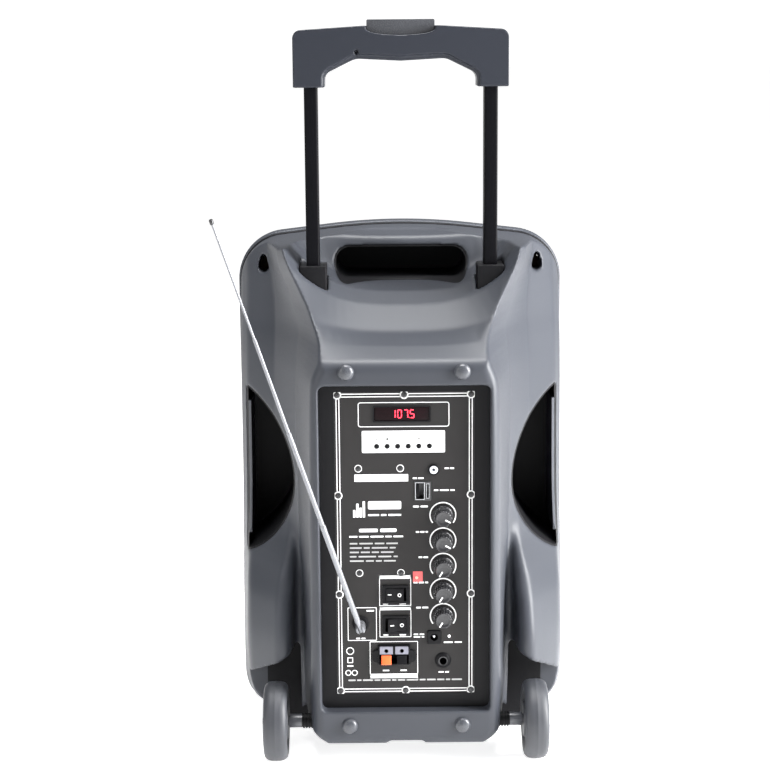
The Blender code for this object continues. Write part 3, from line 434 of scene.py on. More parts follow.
def plastic(name, colour, roughness, grain=1500.0, depth=0.00004, tone=0.08, specular=0.5, metallic=0.0,
            stretch=(1.0, 1.0, 1.0)):
    """Moulded plastic or rubber: fine grain in bump and gloss, faint unevenness in colour."""
    made, tree, shader = new_material(name, colour, roughness, metallic, specular)
    fine = noise(tree, grain, 3.0, stretch)
    broad = noise(tree, 14.0, 3.0)
    mix = tree.nodes.new("ShaderNodeMix")
    mix.data_type = "RGBA"
    mix.inputs["A"].default_value = (*[c * (1.0 - tone) for c in colour], 1.0)
    mix.inputs["B"].default_value = (*[c * (1.0 + tone) for c in colour], 1.0)
    tree.links.new(broad.outputs["Fac"], mix.inputs["Factor"])
    tree.links.new(mix.outputs["Result"], shader.inputs["Base Color"])
    tree.links.new(ranged(tree, fine.outputs["Fac"], roughness - 0.05, roughness + 0.05),
                   shader.inputs["Roughness"])
    bump = tree.nodes.new("ShaderNodeBump")
    bump.inputs["Distance"].default_value = depth
    bump.inputs["Strength"].default_value = 0.6
    tree.links.new(fine.outputs["Fac"], bump.inputs["Height"])
    tree.links.new(bump.outputs["Normal"], shader.inputs["Normal"])
    return made


def glowing(name, colour, strength):
    """A lit indicator or segment."""
    made, _, shader = new_material(name, colour, 0.3)
    shader.inputs["Emission Color"].default_value = (*colour, 1.0)
    shader.inputs["Emission Strength"].default_value = strength
    return made


CASE = plastic("case_plastic", (0.034, 0.037, 0.045), 0.44, 1300.0, 0.00005, 0.05, specular=0.3)
GRIP = plastic("grip_plastic", (0.016, 0.018, 0.024), 0.36, 1300.0, 0.00004, 0.05, specular=0.22)
# Near-black plastic for the real black parts; on the grip pocket liners and the wheel well sheets it is
# painted shade.
NEAR_BLACK_AND_SHADE = plastic("liner_plastic", (0.004, 0.004, 0.005), 0.55, 1500.0, 0.00004, 0.1, specular=0.15)
BLACK = plastic("black_plastic", (0.008, 0.008, 0.009), 0.38, 1800.0, 0.00003, 0.1, specular=0.08)
KNOB = plastic("knob_plastic", (0.016, 0.016, 0.018), 0.24, 1800.0, 0.00003, 0.1)
PANEL = plastic("panel_paint", (0.02, 0.019, 0.019), 0.48, 2600.0, 0.00003, 0.1, specular=0.15)
INK = plastic("white_ink", (0.8, 0.8, 0.8), 0.5, 2600.0, 0.00001, 0.03)
FAINT = plastic("grey_ink", (0.36, 0.36, 0.36), 0.5, 2600.0, 0.00001, 0.03)
WHEEL = plastic("wheel_rubber", (0.028, 0.03, 0.036), 0.52, 1100.0, 0.00006, 0.08)
RUBBER = plastic("bumper_rubber", (0.045, 0.048, 0.056), 0.3, 1300.0, 0.00004, 0.06)
BUTTON = plastic("lock_button", (0.04, 0.042, 0.048), 0.26, 1500.0, 0.00002, 0.05)
AXLE = plastic("axle_sleeve", (0.075, 0.078, 0.088), 0.35, 1200.0, 0.00003, 0.08)
POLE = plastic("pole_coating", (0.003, 0.003, 0.004), 0.42, 2400.0, 0.00003, 0.1, specular=0.05)
STEEL = plastic("steel", (0.5, 0.51, 0.53), 0.32, 900.0, 0.00002, 0.06, metallic=1.0,
                stretch=(1.0, 1.0, 12.0))
DARK_STEEL = plastic("dark_screw", (0.06, 0.06, 0.062), 0.35, 1500.0, 0.00002, 0.1, metallic=0.8)
CHROME = plastic("chrome", (0.2, 0.205, 0.22), 0.3, 700.0, 0.00001, 0.03, metallic=0.6,
                 stretch=(1.0, 1.0, 0.05))
RED = plastic("red_lever", (0.8, 0.13, 0.035), 0.38, 1500.0, 0.00003, 0.05)
GREY = plastic("terminal_grey", (0.17, 0.17, 0.21), 0.42, 1500.0, 0.00003, 0.05)
WINDOW = plastic("display_window", (0.006, 0.001, 0.002), 0.1, 300.0, 0.000002, 0.2, specular=0.12)
RED_PRINT = plastic("red_print", (0.62, 0.09, 0.09), 0.5, 2600.0, 0.00001, 0.03)
GLOW = glowing("red_segment", (1.0, 0.03, 0.06), 5.0)
LED = glowing("red_lamp", (1.0, 0.1, 0.08), 6.0)
LED_WHITE = glowing("white_lamp", (0.95, 0.95, 0.95), 1.2)
BOARD = plastic("board", (0.03, 0.16, 0.07), 0.5, 800.0, 0.00004)
WOOD = plastic("baffle_board", (0.1, 0.065, 0.04), 0.75, 160.0, 0.0002, 0.25, stretch=(0.2, 1.0, 1.0))
CONE = plastic("paper_cone", (0.02, 0.02, 0.021), 0.75, 500.0, 0.0001, 0.15)
LAMP = plastic("light_ring", (0.72, 0.74, 0.8), 0.35, 600.0, 0.00002, 0.03)
GRILLE = plastic("grille_steel", (0.018, 0.018, 0.019), 0.42, 1500.0, 0.00003, 0.1, metallic=0.4)


# ---------------------------------------------------------------- rear cabinet
def smooth_rows(rows, count):
    """Resample a table over its first column with a smooth curve that doesn't overshoot."""
    places = [row[0] for row in rows]
    width = len(rows[0])
    slopes = []
    for column in range(1, width):
        steps = [(b[column] - a[column]) / (b[0] - a[0]) for a, b in zip(rows, rows[1:])]
        inner = [0.0 if s * t <= 0.0 else 2.0 * s * t / (s + t) for s, t in zip(steps, steps[1:])]
        slopes.append([steps[0], *inner, steps[-1]])
    made = []
    for step in range(count + 1):
        share = step / count
        here = places[0] + (places[-1] - places[0]) * share ** 1.15
        index = max(i for i in range(len(rows) - 1) if places[i] <= here + 1e-12)
        first, second = rows[index], rows[index + 1]
        span = second[0] - first[0]
        t = min((here - first[0]) / span, 1.0)
        values = [here]
        for column in range(1, width):
            slope = slopes[column - 1]
            values.append((2 * t ** 3 - 3 * t ** 2 + 1) * first[column] + (t ** 3 - 2 * t ** 2 + t) * span
                          * slope[index]
                          + (3 * t ** 2 - 2 * t ** 3) * second[column]
                          + (t ** 3 - t ** 2) * span * slope[index + 1])
        made.append(values)
    return made


def plan_ring(station, steps):
    """One horizontal section of the cabinet, both halves, as (x, y, z)."""
    z, cheek_y, sx, sy, kx, ky, vx, vy, corner_x = station
    half = [(SHELL_HALF, SEAM_Y), (SHELL_HALF, cheek_y), (sx, sy), (kx, ky), (vx, vy), (corner_x, REAR_Y),
            (0.0, REAR_Y)]
    right = rounded(half, [0.0, *PLAN_RADII, 0.0], steps, False)
    return [(x, y, z) for x, y in right] + [(-x, y, z) for x, y in reversed(right[:-1])]


def scoop_lift(x, y, z):
    """Height that the scooped top gains towards the shoulders, fading out at the rear face."""
    across = min(abs(x) / 0.09, 1.2) ** 3
    across *= 1.0 - 0.7 * min(max((y - 0.042) / 0.014, 0.0), 1.0)
    along = min(max((y - REAR_Y) / 0.07, 0.0), 1.0)
    above = min(max((z - 0.3) / 0.04, 0.0), 1.0)
    return SCOOP_LIFT * across * along * along * (3.0 - 2.0 * along) * above


def cabinet_form():
    """The cabinet's outer form: plan, side view and front outline where all three agree."""
    rows = [(z, cheek, *shoulder, *knee, *valley, corner) for z, cheek, shoulder, knee, valley,
            corner in PLAN]
    plan = loose("plan", loft_mesh([plan_ring(row, 8) for row in smooth_rows(rows, PLAN_SLICES)]))
    outline = rounded([point for point, _ in SIDE], [radius for _, radius in SIDE], 10, False)
    sections = []
    for step in range(SCOOP_SLICES + 1):
        x = -0.16 + 0.32 * step / SCOOP_SLICES
        sections.append([(x, y, z + scoop_lift(x, y, z)) for y, z in outline])
    side = loose("side", loft_mesh(sections))
    face = loose("face", plate_mesh([front_outline(HALF_WIDTH - SHELL_HALF)], "Y", -0.2, SEAM_Y))
    boolean(plan, side, "INTERSECT")
    boolean(plan, face, "INTERSECT")
    return baked(plan, side, face)


def side_pocket_outline(sign, grow):
    """Half-moon of a side grip pocket: straight at the outer wall, round towards the spine."""
    outer, inner, low, high = 0.1385, 0.0955, 0.163, 0.303
    radius = ((high - low) ** 2 / 4.0 + (outer - inner) ** 2) / (2.0 * (outer - inner))
    middle = (low + high) / 2.0
    half_angle = math.asin((high - low) / 2.0 / radius)
    centre = inner + radius
    arc = []
    for step in range(33):
        angle = half_angle * (1.0 - step / 16.0)
        arc.append((centre - (radius + grow) * math.cos(angle), middle + (radius + grow) * math.sin(angle)))
    outline = [(outer + grow, arc[0][1]), *arc, (outer + grow, arc[-1][1])]
    return [(sign * x, z) for x, z in outline]


def well_outline(x, z):
    """Teardrop mouth of a screw well, wide below and narrow above."""
    wide, narrow, rise = 0.0052, 0.0026, 0.0085
    below = [(x + wide * math.cos(a), z + wide * math.sin(a)) for a in
             [math.radians(angle) for angle in range(-195, 16, 10)]]
    above = [(x + narrow * math.cos(a), z + rise + narrow * math.sin(a)) for a in
             [math.radians(angle) for angle in range(15, 166, 15)]]
    return below + above


def top_pocket_outline(grow):
    """Mouth of the top grip pocket: flat above, round below."""
    half, low, high = 0.0575, 0.4035, 0.43
    corners = [(-half - grow, low - grow), (half + grow, low - grow), (half + grow, high + grow),
               (-half - grow, high + grow)]
    return rounded(corners, [0.018, 0.018, 0.012, 0.012], 10, True)


def wheel_well_outline(sign, steps):
    """The wheel well seen from the back; its roof drops outwards."""
    half = [(0.0915, -0.02), (0.0915, 0.0935), (0.104, 0.085), (0.1225, 0.0715), (0.16, 0.04),
            (0.16, -0.02)]
    return rounded([(sign * x, z) for x, z in half], [0.0, 0.006, 0.015, 0.015, 0.0, 0.0], steps, True)


def cabinet_cutters():
    """Everything that is cut out of the cabinet, as separate closed bodies."""
    made = [loose("recess", plate_mesh([box_outline(-RECESS_HALF, RECESS_HALF, *RECESS_Z, 0.005)], "Y",
                                       REAR_Y - 0.02, PANEL_Y + 0.003)),
            loose("inside", block_mesh((-0.06, PANEL_Y - 0.001, 0.062), (0.06, SEAM_Y + 0.01, 0.32))),
            loose("front", block_mesh((-0.128, 0.108, 0.03), (0.128, SEAM_Y + 0.01, 0.415))),
            loose("top", plate_mesh([top_pocket_outline(0.0012)], "Y", -0.1, 0.1125)),
            loose("notch", plate_mesh([[(-0.0185, 0.0), (0.0185, 0.0), (0.015, 0.0222), (-0.015, 0.0222)]],
                                      "Y",
                                      REAR_Y - 0.01, REAR_Y + 0.02))]
    for sign in (1, -1):
        made.append(loose("pocket", plate_mesh([side_pocket_outline(sign, 0.0012)], "Y", -0.2, 0.1025)))
        made.append(loose("well", plate_mesh([well_outline(sign * 0.1235, 0.4095)], "Y", 0.02, 0.11)))
        made.append(loose("wheel_well", plate_mesh([wheel_well_outline(sign, 10)], "Y", REAR_Y - 0.02, 0.0)))
        made.append(loose("collar", block_mesh((sign * POLE_X - 0.0118, -0.0158, COLLAR_Z[0] - 0.0003),
                                               (sign * POLE_X + 0.0118, 0.0158, 0.47))))
    return made


def make_cabinet():
    """Rear cabinet with soft moulded edges; near-black liners in its grip pockets and sheets in its wheel
    wells are painted shade.
    """
    form = cabinet_form()
    shell = loose("shell", form.data.copy())
    cutters = cabinet_cutters()
    for cutter in cutters:
        boolean(shell, cutter)
    voxel_softened(shell, VOXEL, 4)
    shown("rear_cabinet_moulded", taken(shell, *cutters), CASE, ("rear_cabinet",), sharp=None)
    # The near-black pocket liners are painted shade: they keep the grip pockets black, as deep cavities that
    # no light reaches.
    pockets = [("top_grip_liner", top_pocket_outline(0.0018), top_pocket_outline(0.0), 0.1122)]
    for sign, side in ((1, "right"), (-1, "left")):
        pockets.append(("side_grip_liner_" + side, side_pocket_outline(sign, 0.0018),
                        side_pocket_outline(sign, 0.0), 0.1022))
    for node, outer, inner, depth in pockets:
        liner = loose(node + "_raw", plate_mesh([outer], "Y", -0.19, depth))
        trim = loose("trim", form.data.copy())
        trim.location = (0.0, 0.0012, -0.0004)
        mouth = loose("mouth", plate_mesh([inner], "Y", -0.21, depth - 0.002))
        boolean(liner, trim, "INTERSECT")
        boolean(liner, mouth)
        shown(node + "_fine", taken(liner, trim, mouth), NEAR_BLACK_AND_SHADE, (node,))
    for sign, side in ((1, "right"), (-1, "left")):
        near, far = sorted((sign * 0.1358, sign * 0.1384))
        wall = loose("wall", block_mesh((near, 0.03, 0.175), (far, 0.0985, 0.291)))
        trim = loose("trim", form.data.copy())
        trim.location = (0.0, 0.0008, 0.0)
        boolean(wall, trim, "INTERSECT")
        shown("side_grip_wall_" + side, taken(wall, trim), CASE)
    # Near-black sheets at the back of the wheel wells: painted shade in the wells.
    for sign, side in ((1, "right"), (-1, "left")):
        half = [(0.086, 0.009), (0.092, 0.093), (0.104, 0.085), (0.1225, 0.0715), (0.1225, 0.009)]
        shade_sheet = plate_mesh([[(sign * x, z) for x, z in half]], "Y", -0.0011, 0.0012)
        shown("wheel_well_painted_shade_" + side, shade_sheet, NEAR_BLACK_AND_SHADE)
    bpy.data.objects.remove(form, do_unlink=True)


# ---------------------------------------------------------------- front
def ring_loft(profile, finish, name, stands_for=()):
    """A closed frame that follows the front outline; profile is (y, inset) points."""
    sections = [[(x, y, z) for x, z in front_outline(inset)] for y, inset in profile]
    return shown(name, loft_mesh(sections, closed=True), finish, stands_for, sharp=50.0)


def honeycomb(pitch, hole, y, thick, margin):
    """Perforated sheet inside the front outline: one six-sided cell with a round hole at each place."""
    border = [Vector(point) for point in front_outline(margin)]
    inside_x = max(point.x for point in border)
    low = min(point.y for point in border)
    high = max(point.y for point in border)
    work = bmesh.new()
    row_step = pitch * math.sqrt(3) / 2
    cell = pitch / math.sqrt(3)
    count = 12
    rows = int((high - low) / row_step) + 1
    columns = int(2 * inside_x / pitch) + 2
    for row in range(rows):
        z = low + row * row_step
        for column in range(columns):
            x = -inside_x + column * pitch + (pitch / 2 if row % 2 else 0.0)
            if not inside(border, x, z):
                continue
            outer = []
            inner = []
            for i in range(count):
                angle = math.radians(30 + 360 * i / count)
                reach = cell if i % 2 == 0 else pitch / 2
                outer.append(work.verts.new((x + reach * math.cos(angle), y, z + reach * math.sin(angle))))
                inner.append(work.verts.new((x + hole * math.cos(angle), y, z + hole * math.sin(angle))))
            for i in range(count):
                j = (i + 1) % count
                work.faces.new((outer[i], inner[i], inner[j], outer[j]))
    bmesh.ops.remove_doubles(work, verts=work.verts, dist=0.00005)
    bmesh.ops.recalc_face_normals(work, faces=work.faces)
    mesh = bpy.data.meshes.new("honeycomb")
    work.to_mesh(mesh)
    work.free()
    sheet = loose("sheet", mesh)
    solid = sheet.modifiers.new("thick", "SOLIDIFY")
    solid.thickness = thick
    solid.offset = 0.0
    baked(sheet)
    return sheet


def inside(border, x, z):
    """Whether a point lies in an outline."""
    odd = False
    for first, second in zip(border, border[1:] + border[:1]):
        if (first.y > z) != (second.y > z):
            if x < first.x + (z - first.y) * (second.x - first.x) / (second.y - first.y):
                odd = not odd
    return odd


def make_front():
    """Bezel, black seam, perforated grille and the drivers behind it."""
    bezel = [(SEAM_Y + 0.0006, 0.0135), (SEAM_Y + 0.0003, 0.012), (SEAM_Y + 0.0003, 0.0016),
             (SEAM_Y + 0.001, 0.0007), (SEAM_Y + 0.003, 0.0002), (0.133, 0.0), (0.142, 0.0006),
             (0.146, 0.0022), (0.1478, 0.005), (FRONT_Y, 0.0085), (0.147, 0.0115), (0.144, 0.013),
             (0.14, 0.0135)]
    ring_loft(bezel, CASE, "front_bezel_rounded", ("front_bezel",))
    seam = [(SEAM_Y - 0.0012, 0.0024), (SEAM_Y - 0.0014, 0.0032), (SEAM_Y - 0.0012, 0.008),
            (SEAM_Y + 0.0003, 0.008), (SEAM_Y + 0.0003, 0.0018), (SEAM_Y - 0.0004, 0.0018)]
    ring_loft(seam, NEAR_BLACK_AND_SHADE, "bezel_seam_gasket")
    sheet = honeycomb(0.0066, 0.0025, 0.1407, 0.001, 0.0175)
    lip = plate_mesh([front_outline(0.014), front_outline(0.0215)], "Y", 0.14, 0.1414)
    shown("front_grille_perforated", joined([sheet.data, lip]), GRILLE, ("front_grille",))
    bpy.data.objects.remove(sheet, do_unlink=True)
    centre = (0.0, 0.0, WOOFER_Z)
    frame_profile = [(0.05, 0.056), (0.05, 0.085), (0.09, 0.105), (0.107, 0.1215), (0.107, 0.1324),
                     (0.1268, 0.1324), (0.127, 0.1335), (0.1262, 0.135), (0.106, 0.135), (0.104, 0.1335),
                     (0.104, 0.1235), (0.087, 0.1075), (0.03, 0.0865), (0.03, 0.083), (0.016, 0.083),
                     (0.016, 0.056)]
    shown("woofer_frame_fine", turned_mesh(frame_profile, 72, "Y", centre, True), BLACK,
          ("woofer_frame",))
    cone = [(0.0, 0.112), (0.012, 0.1108), (0.022, 0.1072), (0.03, 0.102), (0.034, 0.101), (0.056, 0.114),
            (0.083, 0.129), (0.086, 0.1318), (0.09, 0.1336), (0.095, 0.1339), (0.099, 0.1328),
            (0.103, 0.13), (0.103, 0.1285), (0.0975, 0.1315), (0.0905, 0.1315), (0.083, 0.1265),
            (0.034, 0.0985), (0.015, 0.0985), (0.015, 0.088), (0.0, 0.088)]
    shown("woofer_cone_fine", turned_mesh(cone, 72, "Y", centre), CONE, ("woofer_cone",))
    ring = [(0.129, 0.1325), (0.129, 0.1368), (0.13, 0.1375), (0.1335, 0.1375), (0.1345, 0.1368),
            (0.1345, 0.1325)]
    shown("light_ring_fine", turned_mesh(ring, 96, "Y", centre, True), LAMP, ("light_ring",))
    horn = [(0.0, 0.118), (0.007, 0.1175), (0.011, 0.116), (0.016, 0.114), (0.023, 0.1235), (0.034, 0.1335),
            (0.04, 0.1348), (0.044, 0.135), (0.044, 0.1323), (0.0365, 0.1323), (0.03, 0.115),
            (0.03, 0.092), (0.0, 0.092)]
    shown("tweeter_horn", turned_mesh(horn, 56, "Y", (0.0, 0.0, TWEETER_Z)), BLACK,
          ("tweeter",))


# ---------------------------------------------------------------- handle
def grip_outline(edge, rise):
    """The grip seen from the back; edge moves it inwards and rise lifts its underside."""
    low, high = GRIP_Z
    inner = GRIP_HALF - LEG_WIDTH + rise * 0.55
    half = GRIP_HALF - edge
    top = high - edge
    points = [(half, low), (half, top - 0.003), (0.0, top + 0.0025), (-half, top - 0.003), (-half, low),
              (-inner, low), (-inner, low + 0.011 + rise * 0.5), (-0.038, 0.595 + rise), (0.0, 0.593 + rise),
              (0.038, 0.595 + rise), (inner, low + 0.011 + rise * 0.5), (inner, low)]
    radii = [0.0, 0.007, 0.6, 0.007, 0.0, 0.0, 0.012, 0.016, 0.0, 0.016, 0.012, 0.0]
    return rounded(points, radii, 12, True)


def make_handle():
    """Grip with its lip and button, the two poles, and the collars they slide in."""
    deep = GRIP_DEPTH / 2
    outer = loose("grip", plate_mesh([grip_outline(0.0, 0.0042)], "Y", -deep, deep))
    bevelled(outer, 0.0034, 5, 40)
    core = loose("core", plate_mesh([grip_outline(0.0012, 0.0)], "Y", -deep + 0.0022, deep - 0.0022))
    bevelled(core, 0.004, 5, 40)
    baked(core)
    baked(outer)
    boolean(outer, core, "UNION")
    smile = [(-0.0292, 0.64), (-0.0292, 0.6205)]
    smile += [(0.0292 * math.sin(math.radians(a)), 0.6205 - 0.0062 * math.cos(math.radians(a)) ** 0.8)
              for a in range(-84, 85, 7)]
    smile += [(0.0292, 0.6205), (0.0292, 0.64)]
    cutters = [loose("pocket", block_mesh((-0.0292, -0.0098, 0.6078), (0.0292, 0.0098, 0.64))),
               loose("smile", plate_mesh([smile], "Y", -deep - 0.01, 0.0)),
               loose("screw", rod_mesh(0.0019, 16, "Y", -deep - 0.01, -deep + 0.004, (-0.0372, 0.6005)))]
    for sign in (1, -1):
        wide = POLE_SIZE[0] / 2 + 0.0003
        tall = POLE_SIZE[1] / 2 + 0.0003
        x = sign * POLE_X
        cutters.append(loose("socket", block_mesh((x - wide, -tall, 0.5), (x + wide, tall, 0.6003))))
    for cutter in cutters:
        boolean(outer, cutter)
    voxel_softened(outer, 0.0008, 4)
    shown("handle_grip_moulded", taken(outer, core, *cutters), GRIP, ("handle_grip",), sharp=None,
          body="handle")

    crown = rounded([(-0.0285, 0.6125), (0.0285, 0.6125), (0.0285, 0.6272), (-0.0285, 0.6272)],
                    [0.001, 0.001, 0.0012, 0.0012], 6, True)
    button = loose("button", plate_mesh([crown], "Y", -0.0092, 0.0092))
    bevelled(button, 0.0012, 4, 40)
    shown("lock_button_fine", taken(button), BUTTON, ("lock_button",), body="lock")

    for sign, side in ((1, "right"), (-1, "left")):
        x = sign * POLE_X
        wide = POLE_SIZE[0] / 2
        tall = POLE_SIZE[1] / 2
        section = box_outline(x - wide, x + wide, -tall, tall, 0.0018)
        inner = box_outline(x - wide + 0.001, x + wide - 0.001, -tall + 0.0014, tall - 0.0014, 0.0012)
        shown("handle_pole_fine_" + side, plate_mesh([section, inner], "Z", POLE_BOTTOM, 0.6), POLE,
              ("handle_pole_" + side,), sharp=40.0, body="handle")
        collar = loose("collar", block_mesh((x - 0.0115, -0.0155, COLLAR_Z[0]),
                                            (x + 0.0115, 0.0155, COLLAR_Z[1])))
        bevelled(collar, 0.001, 3, 40)
        baked(collar)
        sleeve = loose("sleeve", plate_mesh([box_outline(x - wide - 0.0019, x + wide + 0.0019, -tall - 0.0019,
                                                         tall + 0.0019, 0.002)], "Z", 0.14,
                                                         COLLAR_Z[1] - 0.004))
        bore = loose("bore", plate_mesh([box_outline(x - wide - 0.0003, x + wide + 0.0003, -tall - 0.0003,
                                                     tall + 0.0003, 0.0019)], "Z", 0.1, 0.5))
        boolean(collar, sleeve, "UNION")
        boolean(collar, bore)
        shown("pole_guide_fine_" + side, taken(collar, sleeve, bore), BLACK,
              ("pole_guide_" + side,))


# ---------------------------------------------------------------- wheels, bumpers, feet
def make_wheels():
    """Wheels with a moulding line round the tread, their axle, and the rubber parts."""
    inner, outer = WHEEL_X
    middle = (inner + outer) / 2
    rim = WHEEL_RADIUS
    for sign, side in ((1, "right"), (-1, "left")):
        half = [(0.0046, inner + 0.0004), (0.012, inner), (0.0148, inner + 0.0002), (0.0165, inner + 0.0026),
                (0.0235, inner + 0.0028), (0.025, inner + 0.0012), (0.0285, inner + 0.0003),
                (0.0305, inner + 0.0008), (0.0322, inner + 0.0022), (0.0334, inner + 0.0044),
                (rim - 0.0002, inner + 0.007), (rim - 0.0001, middle - 0.0006), (rim, middle - 0.0003),
                (rim, middle + 0.0003), (rim - 0.0001, middle + 0.0006), (rim - 0.0002, outer - 0.007),
                (0.0334, outer - 0.0044), (0.0322, outer - 0.0022), (0.0305, outer - 0.0008),
                (0.0285, outer - 0.0003), (0.025, outer - 0.001), (0.0235, outer - 0.0026),
                (0.011, outer - 0.0024), (0.01, outer - 0.0006), (0.0046, outer - 0.0004)]
        profile = [(radius, sign * along) for radius, along in half]
        shown("wheel_fine_" + side, turned_mesh(profile, 96, "X", (0.0, AXLE_Y, WHEEL_RADIUS), True), WHEEL,
              ("wheel_" + side,), sharp=50.0, body="wheel_" + side)
        ribs = [(0.0, 0.0), (0.0042, 0.0)]
        start = 0.08
        for i in range(4):
            left = start + i * 0.0024
            ribs += [(0.0066, left), (0.0066, left + 0.0013), (0.0056, left + 0.0015),
                     (0.0056, left + 0.0023)]
        ribs = [(0.0, start), *ribs[2:], (0.0, start + 0.0098)]
        collar = [(radius, sign * along) for radius, along in ribs]
        shown("axle_collar_" + side, turned_mesh(collar, 28, "X", (0.0, AXLE_Y, WHEEL_RADIUS)), NEAR_BLACK_AND_SHADE,
              sharp=40.0)
    end = outer + 0.0015
    stub = inner - 0.0006
    axle = [(0.0, end), (0.0032, end), (0.004, end - 0.0008), (0.004, stub), (0.0056, stub),
            (0.0058, stub - 0.0003),
            (0.0058, 0.0915), (0.0058, 0.0895), (0.004, 0.0895)]
    mirrored = [(radius, -along) for radius, along in reversed(axle)]
    shown("wheel_axle_fine", turned_mesh(axle + mirrored, 40, "X", (0.0, AXLE_Y, WHEEL_RADIUS)), AXLE,
          ("wheel_axle",), sharp=40.0)
    for number, (x, z) in enumerate(((-0.048, 0.3425), (0.048, 0.3425), (-0.048, 0.0365), (0.048, 0.0365)),
                                    1):
        seat = REAR_Y - 0.0003
        dome = [(0.0, seat - 0.0045)]
        dome += [(0.0066 * math.sin(math.radians(a)), seat - 0.0005 - 0.004 * math.cos(math.radians(a)))
                 for a in range(10, 91, 10)]
        dome += [(0.0068, seat), (0.0018, seat + 0.0002), (0.0018, seat + 0.005), (0.0, seat + 0.005)]
        shown(f"rear_bumper_dome_{number}", turned_mesh(dome, 40, "Y", (x, 0.0, z)), RUBBER,
              (f"rear_bumper_{number}",), sharp=50.0)
    for x, side in ((-0.105, "left"), (0.105, "right")):
        foot = [(0.0, 0.015), (0.0023, 0.015), (0.0023, 0.0078), (0.01, 0.0078), (0.0106, 0.0072),
                (0.012, 0.0006), (0.0114, 0.0), (0.007, 0.0), (0.006, 0.0012), (0.0, 0.0012)]
        shown("front_foot_fine_" + side, turned_mesh(foot, 40, "Z", (x, 0.1, 0.0)), RUBBER,
              ("front_foot_" + side,), sharp=35.0)


# ---------------------------------------------------------------- control panel
INK_LOW = PANEL_Y - 0.00016
INK_HIGH = PANEL_Y + 0.0003


def printed(name, shapes, finish=None, low=INK_LOW, high=INK_HIGH):
    """Flat print on the panel: each shape is a list of outlines, nested ones as holes."""
    meshes = [plate_mesh(outlines, "Y", low, high) for outlines in shapes]
    return shown(name, joined(meshes), finish or INK)


def dashes(x0, x1, z, height, pattern):
    """A row of short bars that stands for a line of small print."""
    total = sum(pattern)
    shapes = []
    at = x0
    for index, share in enumerate(pattern):
        width = (x1 - x0) * share / total
        if index % 2 == 0:
            shapes.append([box_outline(at, at + width, z - height / 2, z + height / 2, height * 0.3, 2)])
        at += width
    return shapes


def ring(x, z, radius, width, count=40):
    """A printed ring."""
    return [circle_outline(x, z, radius + width / 2, count), circle_outline(x, z, radius - width / 2, count)]


